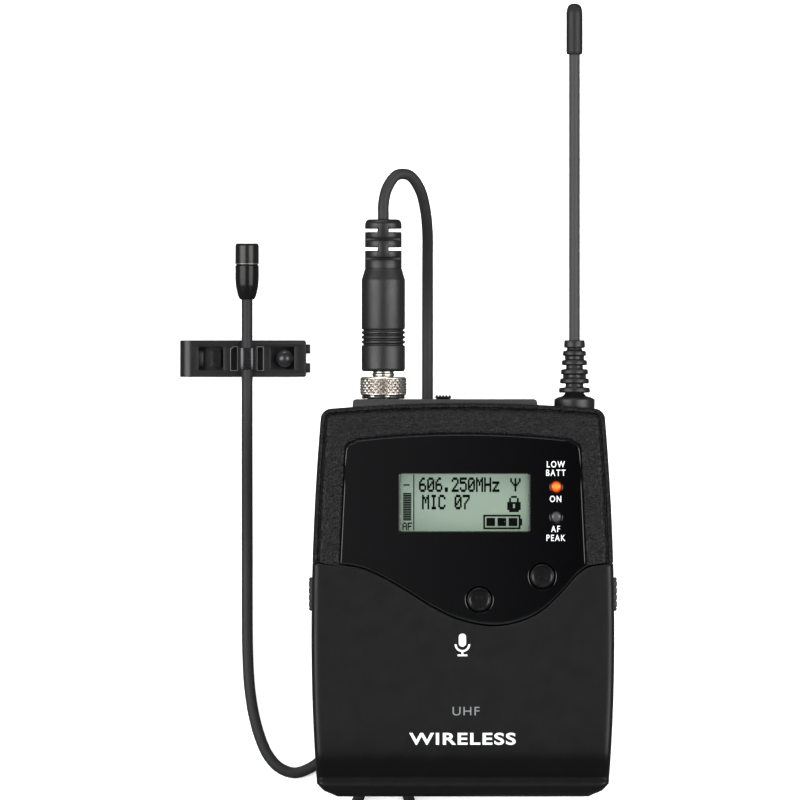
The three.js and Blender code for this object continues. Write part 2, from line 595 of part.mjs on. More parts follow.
const COIL = { x: -3, y: -107, inner: 8.2, outer: 18.2, height: 9.6 };

function cableCoil() {
  const { x, y, inner, outer, height } = COIL;
  const ring = new THREE.LatheGeometry(
    [v2(inner, 0), v2(outer, 0), v2(outer, height), v2(inner, height), v2(inner, 0)], 28);
  return solid(ring.rotateX(Math.PI / 2).translate(x, y, 0));
}

// A strap over the coil, open below.
function cableTie() {
  const { x, y, inner, outer, height } = COIL;
  const [gap, strap] = [0.6, 0.6];
  const arch = block(x + inner - gap - strap, x + outer + gap + strap, y - 2, y + 2, 0, height + gap + strap);
  return arch.subtract(block(x + inner - gap, x + outer + gap, y - 3, y + 3, -1, height + gap));
}

// ---- assembly ---------------------------------------------------------------------------------------
const group = new THREE.Group();
const pack = new THREE.Group();
pack.position.set(PACK_X, 0, PACK_Z);
group.add(pack);

piece('rear_housing', rearHousing(), SHELL, pack);
piece('front_housing', frontHousing(), SHELL, pack);
piece('top_plate', topPlate(), SHELL, pack);
SCREWS.forEach((at, k) => piece(`case_screw_${k + 1}`, caseScrew(at), STEEL, pack));
piece('display_panel', displayPanel(), PANEL, pack);
piece('display_window', displayWindow(), [0xdfe6e0, 0.05], pack);
piece('lcd_frame', lcdFrame(), KEY, pack);
piece('lcd_module', lcdModule(), [0x9ab09d, 0.3], pack);
piece('led_power', statusLed(POWER_LED_Y), [0xff5a1c, 0.2], pack);
piece('led_peak', statusLed(PEAK_LED_Y), [0x4b4b4d, 0.2], pack);
piece('up_button', frontKey(UP), KEY, pack);
piece('down_button', frontKey(DOWN), KEY, pack);
piece('button_mat', buttonMat(), RUBBER, pack);
piece('main_board', block(-22.4, 22.4, -46.4, -3.8, BOARD_TOP - 1, BOARD_TOP), BOARD, pack);
piece('shield_can', shieldCan(), STEEL, pack);
piece('mute_slider', muteSlider(), KEY, pack);
piece('mute_switch', block(MUTE_X - 4.5, MUTE_X + 4.5, -9, -3.7, 8.5, 15.5), STEEL, pack);
piece('jack_socket', jackSocket(), BLACKENED, pack);
piece('battery_tray', batteryTray(), SHELL, pack);
piece('battery_upper', battery(BATTERY_Y[0], 1), [0x8c6a3a, 0.4, 0.5], pack);
piece('battery_lower', battery(BATTERY_Y[1], -1), [0x8c6a3a, 0.4, 0.5], pack);
piece('battery_contact_left', batteryContact(-1), NICKEL, pack);
piece('battery_contact_right', batteryContact(1), NICKEL, pack);
piece('power_button', innerKey(POWER_KEY), KEY, pack);
piece('set_button', innerKey(SET_KEY), KEY, pack);
piece('battery_cover', batteryCover(), SHELL, pack);
piece('cover_hinge_pin', coverHingePin(), STEEL, pack);
piece('left_catch', sideCatch(-1), KEY, pack);
piece('right_catch', sideCatch(1), KEY, pack);
piece('belt_clip', beltClip(), BLACKENED, pack);
piece('antenna_base', antennaBase(), BRASS, pack);
piece('antenna_boot', antennaBoot(), RUBBER, pack);
piece('antenna_whip', rodY(ANTENNA_X, SOCKET_Z, 6, 75.4, 1.135), RUBBER, pack);
piece('antenna_tip', antennaTip(), RUBBER, pack);
piece('plug_tip', plugTip(), NICKEL, pack);
piece('plug_insulator', ringY(PLUG_X, SOCKET_Z, -13, -12, 0.9, 1.75), KEY, pack);
piece('plug_barrel', plugBarrel(), NICKEL, pack);
piece('nut_snap_ring', ringY(PLUG_X, SOCKET_Z, 2.1, 2.9, 2.32, 3.05), STEEL, pack);
piece('lock_nut', lockNut(), NICKEL, pack);
piece('plug_sleeve', plugSleeve(), SHELL, pack);
piece('plug_boot', plugBoot(), RUBBER, pack);

piece('mic_body', micBody(), [0x232425, 0.25], group);
piece('mic_bush', rodY(MIC_X, MIC_Z, 25.1, 26.4, 1.6), RUBBER, group);
piece('mic_element', rodY(MIC_X, MIC_Z, 26.7, 30.6, 1.55), STEEL, group);
piece('mic_grille', rodY(MIC_X, MIC_Z, 31.1, 31.5, 1.6), STEEL, group);
piece('mic_cap', micCap(), BLACKENED, group);
piece('clip_plate', clipPlate(), BLACKENED, group);
piece('clip_cable_band', cableBand(), BLACKENED, group);
piece('clip_hinge_pin', clipHingePin(), STEEL, group);
piece('clip_spring', ringY(CLIP_HINGE.x, CLIP_HINGE.z, 5.8, 6.6, 0.75, 1.15), STEEL, group);
piece('clip_jaw', clipJaw(), BLACKENED, group);
piece('clip_teeth', clipTeeth(), BLACKENED, group);
piece('clip_dome', clipDome(), BLACKENED, group);

piece('cable_plug_run', tube(PLUG_RUN, CABLE_R, 34), CABLE, group);
piece('cable_mic_run', tube(MIC_RUN, CABLE_R, 34), CABLE, group);
piece('cable_coil', cableCoil(), CABLE, group);
piece('cable_tie', cableTie(), RUBBER, group);

export default group;
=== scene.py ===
"""Looks of the lavalier microphone set: tie-clip microphone, cable, plug and body-pack transmitter.

Lengths are in millimetres until a mesh is finished, when place() turns them into the frame's metres.
"""
import math
from contextlib import contextmanager

import bmesh
import bpy
import numpy as np
from mathutils import Matrix, Vector


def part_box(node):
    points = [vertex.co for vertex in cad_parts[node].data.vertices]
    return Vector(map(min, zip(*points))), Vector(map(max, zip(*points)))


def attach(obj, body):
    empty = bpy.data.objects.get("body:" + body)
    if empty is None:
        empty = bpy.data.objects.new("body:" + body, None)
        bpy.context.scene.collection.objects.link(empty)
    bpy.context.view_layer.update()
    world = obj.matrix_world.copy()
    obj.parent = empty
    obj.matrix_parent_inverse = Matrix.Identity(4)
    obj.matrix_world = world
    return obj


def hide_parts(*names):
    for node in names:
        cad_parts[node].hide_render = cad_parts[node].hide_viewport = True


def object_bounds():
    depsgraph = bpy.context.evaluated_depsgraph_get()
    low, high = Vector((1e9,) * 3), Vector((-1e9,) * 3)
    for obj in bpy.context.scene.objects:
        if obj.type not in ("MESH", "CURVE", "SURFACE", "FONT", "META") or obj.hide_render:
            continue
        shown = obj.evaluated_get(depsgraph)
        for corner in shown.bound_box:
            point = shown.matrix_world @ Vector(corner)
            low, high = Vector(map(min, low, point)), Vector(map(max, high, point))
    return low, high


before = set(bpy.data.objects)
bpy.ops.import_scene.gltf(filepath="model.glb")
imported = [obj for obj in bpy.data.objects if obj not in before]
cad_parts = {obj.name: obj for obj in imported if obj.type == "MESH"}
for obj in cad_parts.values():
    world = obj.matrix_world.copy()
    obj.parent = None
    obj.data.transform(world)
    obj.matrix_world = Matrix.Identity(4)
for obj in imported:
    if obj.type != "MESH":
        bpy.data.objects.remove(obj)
cad_low, cad_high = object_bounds()

MM = 0.001
TURN = 2 * math.pi


# ---- where the CAD parts are ----------------------------------------------------------------------
def low(node, axis):
    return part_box(node)[0][axis] / MM


def high(node, axis):
    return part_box(node)[1][axis] / MM


def centre(node, axis):
    return (low(node, axis) + high(node, axis)) / 2


DEPTH = 24.0                    # pack, back to front
BOTTOM = -82.0                  # the pack's lower end; y = 0 is its top plate
PACK = Vector((centre("front_housing", 0), low("battery_cover", 1) - BOTTOM,
               high("front_housing", 2) - DEPTH))
SET = PACK - Vector((13.3, 0, 9))
PLUG_X = centre("plug_sleeve", 0) - PACK.x
ANTENNA_X = centre("antenna_whip", 0) - PACK.x
SOCKET_Z = centre("plug_sleeve", 2) - PACK.z
MIC_X = centre("mic_body", 0) - SET.x
MIC_Z = centre("mic_body", 2) - SET.z
CLIP_Y = centre("clip_plate", 1) - SET.y
HINGE_Y = centre("cover_hinge_pin", 1) - PACK.y
HINGE_Z = centre("cover_hinge_pin", 2) - PACK.z
WINDOW_GAP = 0.25               # between the display window and its hole
WINDOW = [low("display_window", 0) - PACK.x - WINDOW_GAP, high("display_window", 0) - PACK.x + WINDOW_GAP,
          low("display_window", 1) - PACK.y - WINDOW_GAP, high("display_window", 1) - PACK.y + WINDOW_GAP]


# ---- looks ----------------------------------------------------------------------------------------
def linear(rgb):
    """An sRGB colour of 0 to 255 as linear values."""
    values = [c / 255 for c in rgb]
    return [c / 12.92 if c <= 0.04045 else ((c + 0.055) / 1.055) ** 2.4 for c in values]


class Look:
    """A procedural material in object coordinates, in millimetres."""

    def __init__(self, name, color, rough, metal=0.0, specular=0.5):
        self.material = bpy.data.materials.new(name)
        self.material.use_nodes = True
        self.tree = self.material.node_tree
        self.shader = self.tree.nodes["Principled BSDF"]
        self.color, self.rough = color, rough
        self.set("Base Color", (*linear(color), 1))
        self.set("Roughness", rough)
        self.set("Metallic", metal)
        self.set("Specular IOR Level", specular)
        coords = self.node("ShaderNodeTexCoord")
        self.mm = self.node("ShaderNodeVectorMath", operation="SCALE")
        self.mm.inputs["Scale"].default_value = 1 / MM
        self.link(coords.outputs["Object"], self.mm.inputs[0])

    def set(self, socket, value):
        self.shader.inputs[socket].default_value = value

    def node(self, kind, **settings):
        made = self.tree.nodes.new(kind)
        for key, value in settings.items():
            setattr(made, key, value)
        return made

    def link(self, output, target):
        self.tree.links.new(output, target)

    def stretched(self, stretch):
        """The millimetre coordinates, scaled apart along each axis."""
        product = self.node("ShaderNodeVectorMath", operation="MULTIPLY")
        product.inputs[1].default_value = stretch
        self.link(self.mm.outputs[0], product.inputs[0])
        return product.outputs[0]

    def noise(self, scale, detail=2.0, stretch=(1, 1, 1)):
        made = self.node("ShaderNodeTexNoise")
        made.inputs["Scale"].default_value = scale
        made.inputs["Detail"].default_value = detail
        self.link(self.stretched(stretch), made.inputs["Vector"])
        return made.outputs["Fac"]

    def cells(self, scale, feature="F1", stretch=(1, 1, 1)):
        made = self.node("ShaderNodeTexVoronoi", feature=feature)
        made.inputs["Scale"].default_value = scale
        self.link(self.stretched(stretch), made.inputs["Vector"])
        return made.outputs["Distance"]

    def ramp(self, value, low_in, high_in, low_out, high_out):
        made = self.node("ShaderNodeMapRange")
        numbers = {"From Min": low_in, "From Max": high_in, "To Min": low_out, "To Max": high_out}
        for key, number in numbers.items():
            made.inputs[key].default_value = number
        self.link(value, made.inputs["Value"])
        return made.outputs["Result"]

    def blend(self, factor, first, last, target="Base Color"):
        """Two linear colours mixed by a factor, as one of the shader's colours."""
        mix = self.node("ShaderNodeMix", data_type="RGBA")
        mix.inputs["A"].default_value = (*first, 1)
        mix.inputs["B"].default_value = (*last, 1)
        self.link(factor, mix.inputs["Factor"])
        self.link(mix.outputs["Result"], self.shader.inputs[target])

    def mottle(self, scale=0.35, amount=0.08, rough_amount=0.05, stretch=(1, 1, 1)):
        """Uneven colour and gloss, as handling leaves on a surface."""
        value = self.noise(scale, 4.0, stretch)
        darker, lighter = [[c * share for c in linear(self.color)] for share in (1 - amount, 1 + amount)]
        self.blend(self.ramp(value, 0.35, 0.65, 0, 1), darker, lighter)
        gloss = self.ramp(value, 0.3, 0.7, self.rough - rough_amount, self.rough + rough_amount)
        self.link(gloss, self.shader.inputs["Roughness"])
        return self

    def bump(self, value, depth, strength=1.0):
        made = self.node("ShaderNodeBump")
        made.inputs["Strength"].default_value = strength
        made.inputs["Distance"].default_value = depth * MM
        self.link(value, made.inputs["Height"])
        previous = self.shader.inputs["Normal"].links
        if previous:
            self.link(previous[0].from_socket, made.inputs["Normal"])
        self.link(made.outputs["Normal"], self.shader.inputs["Normal"])
        return self

    def gradient(self, axis, start, end, first, last):
        """Colour that changes along one axis."""
        split = self.node("ShaderNodeSeparateXYZ")
        self.link(self.mm.outputs[0], split.inputs[0])
        self.blend(self.ramp(split.outputs[axis], start, end, 0, 1), linear(first), linear(last))
        return self


def fine_plastic(name, color, rough, depth=0.012, specular=0.25):
    """Moulded plastic with a fine spark-eroded skin."""
    look = Look(name, color, rough, specular=specular).mottle(0.35, 0.05, 0.03)
    return look.bump(look.noise(5.0, 3.0), depth)


def leather_plastic(name, color, rough):
    """Moulded plastic with a pebbled grain."""
    look = Look(name, color, rough, specular=0.25).mottle(1.6, 0.22, 0.06)
    look.bump(look.ramp(look.cells(2.6, "SMOOTH_F1"), 0.0, 0.6, 1, 0), 0.16)
    return look.bump(look.noise(7.0), 0.03)


def strap_look():
    """A dull woven band."""
    look = Look("strap_weave", (30, 30, 31), 0.8, specular=0.2)
    return look.bump(look.cells(3.2, "F1", (1, 2, 1)), 0.08)


def cover_look():
    """The cover's matt plastic, with painted shade that darkens it into the fold above its hinge."""
    look = fine_plastic("cover_plastic", (22, 22, 23), 0.38)
    split = look.node("ShaderNodeSeparateXYZ")
    look.link(look.mm.outputs[0], split.inputs[0])
    ramp = look.node("ShaderNodeValToRGB")
    height = look.ramp(split.outputs["Y"], PACK.y - 82, PACK.y - 66, 0, 1)
    look.link(height, ramp.inputs["Fac"])
    # Painted shade: the grey is darkest in the fold above the hinge, lighter on the lip below it, and
    # darker again at the lower end.
    painted_shade_stops = [(0.0, 11), (0.14, 13), (0.2, 12), (0.27, 7), (0.5, 9), (0.75, 12), (1.0, 14)]
    for share, _ in painted_shade_stops[2:]:
        ramp.color_ramp.elements.new(share)
    for element, (share, level) in zip(ramp.color_ramp.elements, painted_shade_stops):
        element.position, element.color = share, (*linear((level, level, level + 1)), 1)
    look.link(ramp.outputs["Color"], look.shader.inputs["Base Color"])
    return look


def metal(name, color, rough, brushed=(1, 1, 1), depth=0.004):
    look = Look(name, color, rough, metal=1.0).mottle(0.6, 0.05, 0.04)
    return look.bump(look.noise(6.0, 3.0, brushed), depth)


def glass(name):
    """A thin clear pane: it lets light straight through and mirrors a little of it."""
    look = Look(name, (255, 255, 255), 0.03)
    clear = look.node("ShaderNodeBsdfTransparent")
    mirror = look.node("ShaderNodeBsdfGlossy")
    mirror.inputs["Roughness"].default_value = 0.03
    mix = look.node("ShaderNodeMixShader")
    mix.inputs[0].default_value = 0.035
    look.link(clear.outputs[0], mix.inputs[1])
    look.link(mirror.outputs[0], mix.inputs[2])
    look.link(mix.outputs[0], look.tree.nodes["Material Output"].inputs["Surface"])
    return look


LOOKS = {
    "cover": cover_look(),
    "pad": leather_plastic("grained_plastic", (10, 10, 11), 0.42),
    "shell": fine_plastic("shell_plastic", (26, 26, 27), 0.42),
    "top": fine_plastic("top_plastic", (42, 42, 43), 0.4, 0.006, 0.4),
    # The panel's colour is painted lighter at its left and darker at its right: painted light, as if lit
    # from the left.
    "panel": Look("panel_gloss", (14, 14, 14), 0.06).gradient("X", -12, 38, (19, 19, 20), (6, 6, 7)),
    "key": fine_plastic("key_plastic", (10, 10, 10), 0.28, 0.003, 0.3),
    "catch": fine_plastic("catch_plastic", (22, 22, 23), 0.4),
    "rubber": fine_plastic("rubber_black", (16, 16, 17), 0.42, 0.012, 0.5),
    "sleeve": fine_plastic("sleeve_plastic", (19, 19, 20), 0.42, 0.03, 0.5),
    "strap": strap_look(),
    "rod": Look("whip_jacket", (56, 56, 57), 0.5, specular=0.25).mottle(0.35, 0.04, 0.02),
    "tip": Look("tip_jacket", (30, 30, 31), 0.45, specular=0.25).mottle(0.35, 0.04, 0.02),
    "cable": Look("cable_jacket", (44, 44, 45), 0.5, specular=0.2).mottle(0.5, 0.04, 0.02),
    "steel": metal("steel", (176, 174, 170), 0.3),
    "nickel": metal("nickel", (206, 200, 192), 0.3),
    "black_metal": Look("black_metal", (28, 28, 29), 0.34, metal=0.3).mottle(0.5, 0.04, 0.02),
    "band": Look("band_metal", (52, 52, 54), 0.2, metal=0.7, specular=0.8).mottle(0.5, 0.03, 0.01),
    # A light grey metal for thin rims and rings: a painted highlight along edges of dark parts.
    "edge": Look("painted_highlight_metal", (112, 112, 112), 0.35, metal=0.6).mottle(0.5, 0.03, 0.01),
    "mic_metal": Look("mic_metal", (46, 46, 44), 0.28, metal=0.7, specular=0.4).mottle(0.5, 0.03, 0.01),
    "mic_black": Look("mic_black", (18, 18, 19), 0.24, specular=0.22).mottle(0.4, 0.03, 0.01),
    "dome": Look("dome_black", (40, 40, 42), 0.3, specular=0.7).mottle(0.5, 0.03, 0.01),
    "tongue": Look("tongue_black", (12, 12, 13), 0.35, metal=0.3).mottle(0.5, 0.03, 0.01),
    "brass": metal("brass", (200, 160, 92), 0.3),
    "board": Look("board_green", (10, 44, 26), 0.4, specular=0.3).mottle(1.5, 0.2, 0.05),
    "battery": metal("battery_skin", (150, 116, 58), 0.35, (8, 1, 1)),
    "battery_wrap": Look("battery_wrap", (30, 30, 34), 0.3).mottle(),
    "lcd_dark": Look("lcd_segment", (4, 7, 5), 0.6, specular=0.05),
    "white": Look("white_print", (232, 234, 234), 0.5, specular=0.3),
    "grey": Look("grey_print", (120, 122, 123), 0.5, specular=0.3),
    "led_dark": Look("led_dark", (62, 62, 64), 0.3),
    "window": glass("window_clear"),
}


def glowing(name, inner, outer, centre_xy, reach, strength):
    """Light that fades outwards from a point of the front."""
    look = Look(name, (60, 8, 4), 0.3)
    offset = look.node("ShaderNodeVectorMath", operation="DISTANCE")
    offset.inputs[1].default_value = (*centre_xy, PACK.z + DEPTH)
    look.link(look.mm.outputs[0], offset.inputs[0])
    outward = look.ramp(offset.outputs["Value"], reach * 0.2, reach, 0, 1)
    look.blend(outward, linear(inner), linear(outer), "Emission Color")
    look.set("Emission Strength", strength)
    return look


# ---- mesh tools -----------------------------------------------------------------------------------
def mesh_of(verts, faces):
    mesh = bpy.data.meshes.new("shape")
    mesh.from_pydata([tuple(v) for v in verts], [], faces)
    return mesh


def evaluated(source, modify=None):
    """The mesh of an object, curve or mesh, with a modifier applied."""
    thing = bpy.data.objects.new("work", source)
    bpy.context.scene.collection.objects.link(thing)
    if modify:
        modify(thing)
    graph = bpy.context.evaluated_depsgraph_get()
    graph.update()
    made = bpy.data.meshes.new_from_object(thing.evaluated_get(graph))
    bpy.data.objects.remove(thing)
    return made


@contextmanager
def editing(mesh):
    """A mesh opened as a bmesh, and written back at the end."""
    work = bmesh.new()
    work.from_mesh(mesh)
    work.verts.ensure_lookup_table()
    yield work
    work.to_mesh(mesh)
    work.free()


def carved(mesh, *cutters):
    """The mesh after each cutter is taken from it."""
    for cutter in cutters:
        tool = bpy.data.objects.new("cutter", cutter)
        bpy.context.scene.collection.objects.link(tool)

        def modify(thing):
            step = thing.modifiers.new("cut", "BOOLEAN")
            step.operation, step.object, step.solver = "DIFFERENCE", tool, "EXACT"

        mesh = evaluated(mesh, modify)
        bpy.data.objects.remove(tool)
    return mesh


def bevelled(mesh, width, angle=30):
    """The mesh with its sharp edges rounded, to catch light as moulded ones do."""
    with editing(mesh) as work:
        bmesh.ops.remove_doubles(work, verts=work.verts, dist=1e-3)
        bmesh.ops.dissolve_limit(work, angle_limit=math.radians(1), verts=work.verts, edges=work.edges)
        bmesh.ops.recalc_face_normals(work, faces=work.faces)

    def modify(thing):
        step = thing.modifiers.new("round", "BEVEL")
        step.width, step.segments, step.limit_method = width, 2, "ANGLE"
        step.angle_limit, step.use_clamp_overlap = math.radians(angle), True

    return evaluated(mesh, modify)


def joined(*meshes):
    whole = bmesh.new()
    for mesh in meshes:
        whole.from_mesh(mesh)
    made = bpy.data.meshes.new("shape")
    whole.to_mesh(made)
    whole.free()
    return made


def mapped(mesh, change):
    for vertex in mesh.vertices:
        vertex.co = change(vertex.co)
    return mesh


def moved(mesh, x=0, y=0, z=0):
    return mapped(mesh, lambda p: p + Vector((x, y, z)))


def box_mesh(x0, x1, y0, y1, z0, z1):
    verts = [(x, y, z) for z in (z0, z1) for y in (y0, y1) for x in (x0, x1)]
    faces = [(0, 2, 3, 1), (4, 5, 7, 6), (0, 1, 5, 4), (2, 6, 7, 3), (0, 4, 6, 2), (1, 3, 7, 5)]
    return mesh_of(verts, faces)


def rounded(profile, radius=0.12, steps=3):
    """A profile with each inner corner turned into a small arc."""
    made = [profile[0]]
    for before, corner, after in zip(profile, profile[1:], profile[2:]):
        b, c, a = Vector(before), Vector(corner), Vector(after)
        reach = min(radius, 0.45 * (c - b).length, 0.45 * (a - c).length)
        if reach < 1e-4:
            made.append(corner)
            continue
        start, end = c + (b - c).normalized() * reach, c + (a - c).normalized() * reach
        for k in range(steps + 1):
            t = k / steps
            made.append(tuple(start.lerp(c, t).lerp(c.lerp(end, t), t)))
    return [*made, profile[-1]]


def lathe(profile, x, z, segments=72, wave=None):
    """A turned shape about a line along Y. The profile is a list of (radius, y)."""
    verts, faces = [], []
    for r, y in profile:
        for k in range(segments):
            angle = TURN * k / segments
            reach = max(r + (wave(angle, y, r) if wave else 0), 0)
            verts.append((x + reach * math.cos(angle), y, z + reach * math.sin(angle)))
    for row in range(len(profile) - 1):
        for k in range(segments):
            a, b = row * segments + k, row * segments + (k + 1) % segments
            faces.append((a, a + segments, b + segments, b))
    return welded(mesh_of(verts, faces))


def rod(r, y0, y1, x, z, segments=48, radius=0.0):
    """A round rod along Y, with its corners rounded where a radius is given."""
    return lathe(rounded([(0, y0), (r, y0), (r, y1), (0, y1)], radius), x, z, segments)


def welded(mesh):
    with editing(mesh) as work:
        bmesh.ops.remove_doubles(work, verts=work.verts, dist=1e-4)
        bmesh.ops.recalc_face_normals(work, faces=work.faces)
    return mesh


def capped(mesh, count):
    """A grid of rings with its first and last ring closed; count points go round each."""
    with editing(mesh) as work:
        work.faces.new(work.verts[:count])
        work.faces.new(work.verts[-count:])
        bmesh.ops.recalc_face_normals(work, faces=work.faces)
    return mesh


def upright(mesh, x, y):
    """A shape turned about a line along Y through the origin, stood along Z at (x, y)."""
    return mapped(mesh, lambda p: Vector((p.x + x, -p.z + y, p.y)))


def along_x(mesh, y, z, side=1):
    """A shape turned about a line along Y through the origin, laid along X at (y, z)."""
    return mapped(mesh, lambda p: Vector((p.y * side, p.x + y, p.z + z)))


def grid(points, close_rows=False, close_columns=False):
    """A surface through a table of points."""
    rows, columns = len(points), len(points[0])
    faces = []
    for i in range(rows if close_rows else rows - 1):
        for j in range(columns if close_columns else columns - 1):
            a, b = i * columns + j, i * columns + (j + 1) % columns
            c, d = (i + 1) % rows * columns + (j + 1) % columns, (i + 1) % rows * columns + j
            faces.append((a, b, c, d))
    return mesh_of([p for row in points for p in row], faces)


def add_line(curve, points):
    """Straight stretches through the points, as a new spline of the curve."""
    spline = curve.splines.new("POLY")
    spline.points.add(len(points) - 1)
    for point, at in zip(spline.points, points):
        point.co = (*at, 1)
    return spline


def tube(name, points, radius, resolution):
    """A round curve along the points, with closed ends."""
    curve = bpy.data.curves.new(name, "CURVE")
    curve.dimensions, curve.bevel_depth, curve.bevel_resolution = "3D", radius, resolution
    curve.use_fill_caps = True
    add_line(curve, points)
    return curve


def plate(loops, z0, z1, bevel=0.1, steps=2):
    """A flat plate with rounded edges. The first loop is its outline and the others its holes."""
    curve = bpy.data.curves.new("outline", "CURVE")
    curve.dimensions, curve.fill_mode = "2D", "BOTH"
    curve.extrude, curve.bevel_depth, curve.bevel_resolution = (z1 - z0) / 2 - bevel, bevel, steps
    curve.offset = -bevel
    for loop in loops:
        add_line(curve, [(x, y, 0) for x, y in loop]).use_cyclic_u = True
    return moved(welded(evaluated(curve)), z=(z0 + z1) / 2)


def rectangle(x0, x1, y0, y1, radius=0.0, steps=5):
    """A rectangle with round corners, anticlockwise."""
    corners = [(x1, y1, 0), (x0, y1, 1), (x0, y0, 2), (x1, y0, 3)]
    if radius == 0:
        return [(x, y) for x, y, _ in corners]
    made = []
    for x, y, quarter in corners:
        cx = x - radius if quarter in (0, 3) else x + radius
        cy = y - radius if quarter in (0, 1) else y + radius
        for k in range(steps + 1):
            angle = TURN / 4 * (quarter + k / steps)
            made.append((cx + radius * math.cos(angle), cy + radius * math.sin(angle)))
    return made


def arc(x, y, r, first, last, count):
    """Points on a circle about (x, y), from one angle to another."""
    return [(x + r * math.cos(a), y + r * math.sin(a)) for a in np.linspace(first, last, count)]


def mirrored(half):
    """A line's right half, which ends at x = 0, followed by its left half."""
    return [*half, *[(-x, y) for x, y in reversed(half[:-1])]]


def circle(x, y, r, sides=48):
    return [(x + r * math.cos(TURN * k / sides), y + r * math.sin(TURN * k / sides)) for k in range(sides)]


def place(name, mesh, look, body, stands_for=(), origin=PACK, sharp=32):
    """Finishes a piece: into metres and the row frame, smooth shading, its material and its CAD body."""
    mesh.transform(Matrix.Scale(MM, 4) @ Matrix.Translation(origin))
    mesh.polygons.foreach_set("use_smooth", [True] * len(mesh.polygons))
    mesh.set_sharp_from_angle(angle=math.radians(sharp))
    thing = bpy.data.objects.new(name, mesh)
    bpy.context.scene.collection.objects.link(thing)
    mesh.materials.clear()
    mesh.materials.append((LOOKS[look] if isinstance(look, str) else look).material)
    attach(thing, body)
    if stands_for:
        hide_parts(*([stands_for] if isinstance(stands_for, str) else stands_for))
    return thing


def refined(node, look, width):
    """The CAD part's own shape with rounded edges, as a piece of the pack."""
    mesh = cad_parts[node].data.copy()
    mesh.transform(Matrix.Scale(1 / MM, 4))
    place(f"{node}_fine", bevelled(mesh, width), look, "pack", node, Vector((0, 0, 0)))


# ---- camera, light and floor ----------------------------------------------------------------------
def make_camera():
    data = bpy.data.cameras.new("camera")
    data.lens, data.sensor_width, data.clip_end = 1500, 36, 200
    camera = bpy.data.objects.new("camera", data)
    bpy.context.scene.collection.objects.link(camera)
    picture_width = 165.2 * MM
    distance = picture_width * data.lens / data.sensor_width
    camera.location = (0.31 * MM, -0.05 * MM, cad_high.z + distance)
    bpy.context.scene.camera = camera


def make_light(name, position, size, power, glossy=True):
    data = bpy.data.lights.new(name, "AREA")
    data.shape, data.size, data.size_y = "RECTANGLE", size[0], size[1]
    data.energy = power
    light = bpy.data.objects.new(name, data)
    light.location = position
    light.rotation_mode = "QUATERNION"
    light.rotation_quaternion = (-Vector(position)).to_track_quat("-Z", "Y")
    light.visible_camera, light.visible_glossy = False, glossy
    bpy.context.scene.collection.objects.link(light)


def shade_world(tree):
    """Bright walls round a dark ceiling."""
    kinds = ("ShaderNodeTexCoord", "ShaderNodeSeparateXYZ", "ShaderNodeMapRange")
    coords, split, level = [tree.nodes.new(kind) for kind in kinds]
    tree.links.new(coords.outputs["Generated"], split.inputs[0])
    tree.links.new(split.outputs["Z"], level.inputs["Value"])
    for key, number in (("From Min", 0.5), ("From Max", 0.8), ("To Min", 3.5), ("To Max", 0.04)):
        level.inputs[key].default_value = number
    tree.links.new(level.outputs["Result"], tree.nodes["Background"].inputs["Strength"])


def make_stage():
    make_light("left_softbox", (-0.95, 0.1, 0.95), (0.7, 1.3), 17)
    make_light("right_softbox", (0.95, 0.1, 0.95), (0.7, 1.3), 17)
    make_light("low_fill", (0.3, -1.5, 0.45), (1.2, 0.6), 9, glossy=False)
    make_light("far_fill", (-0.3, 1.5, 0.45), (1.2, 0.6), 9)
    # The main light comes from above and mirrors in nothing, so that the glossy panel stays dark.
    make_light("overhead", (0.0, 0.25, 1.4), (0.7, 0.7), 11, glossy=False)
    world = bpy.data.worlds.new("world")
    world.use_nodes = True
    shade_world(world.node_tree)
    bpy.context.scene.world = world
    bpy.context.scene.view_settings.view_transform = "Standard"
    square = mesh_of([(-8, -8, 0), (8, -8, 0), (8, 8, 0), (-8, 8, 0)], [(0, 1, 2, 3)])
    floor = bpy.data.objects.new("floor", square)
    floor.location.z = cad_low.z - 0.05 * MM
    look = Look("floor_white", (250, 250, 250), 0.9, specular=0.0)
    look.set("Emission Color", (1, 1, 1, 1))
    look.set("Emission Strength", 0.55)
    floor.data.materials.append(look.material)
    floor.visible_glossy = floor.visible_diffuse = False
    bpy.context.scene.collection.objects.link(floor)


# ---- cable ----------------------------------------------------------------------------------------
CABLE_R = 1.15
PLUG_RUN = [
    (-3.14, 37.35, 21), (-3.14, 38.6, 21), (-3.1, 40.6, 20.9), (-2.3, 43.9, 20.2), (-0.3, 46.5, 18.9),
    (2.3, 46.4, 17.1), (4.4, 43.6, 15), (5.5, 39.6, 12.2), (6, 34.8, 8.9), (6.03, 29, 5.4),
    (6.03, 22.5, 2.6), (6.03, 16, 1.4), (6.03, 8, 1.2), (5.9, -8, 1.2), (5.2, -26, 1.2), (3.8, -44, 1.2),
    (2.4, -56, 1.3), (1.6, -62, 2.4), (0.8, -68, 3.75), (0.6, -74, 2.4), (1.2, -79.5, 1.3),
    (2.9, -84.6, 1.2), (5.3, -88.8, 1.2),
]
MIC_RUN = [
    (-9.7, -85.6, 2.6), (-7.9, -81.6, 1.4), (-7.2, -78, 1.2), (-8.6, -74.8, 1.2),
    (-11.8, -73.2, 1.2), (-15, -74, 1.2), (-18, -76.2, 1.2), (-21.5, -77.4, 1.2), (-24.6, -76.4, 1.2),
    (-26.9, -74, 1.2), (-28.6, -70.4, 1.2), (-30, -65.4, 1.2), (-30.9, -59.5, 1.2), (-31.3, -52, 1.2),
    (-31.39, -42, 1.2), (-31.39, -34, 1.3), (-31.39, -27, 1.9), (-31.39, -19, 3.4), (-31.39, -11, 5.1),
    (-31.39, -4, 6.15), (-31.39, 4, 6.25), (-31.39, 12, 6.25), (-31.39, 20.76, 6.25),
]
COIL_AT = (-3.0, -107.0)
COIL_RADII = [16.65, 14.3, 11.95, 9.6]
COIL_LAYERS = [1.2, 3.5, 5.8, 8.1]


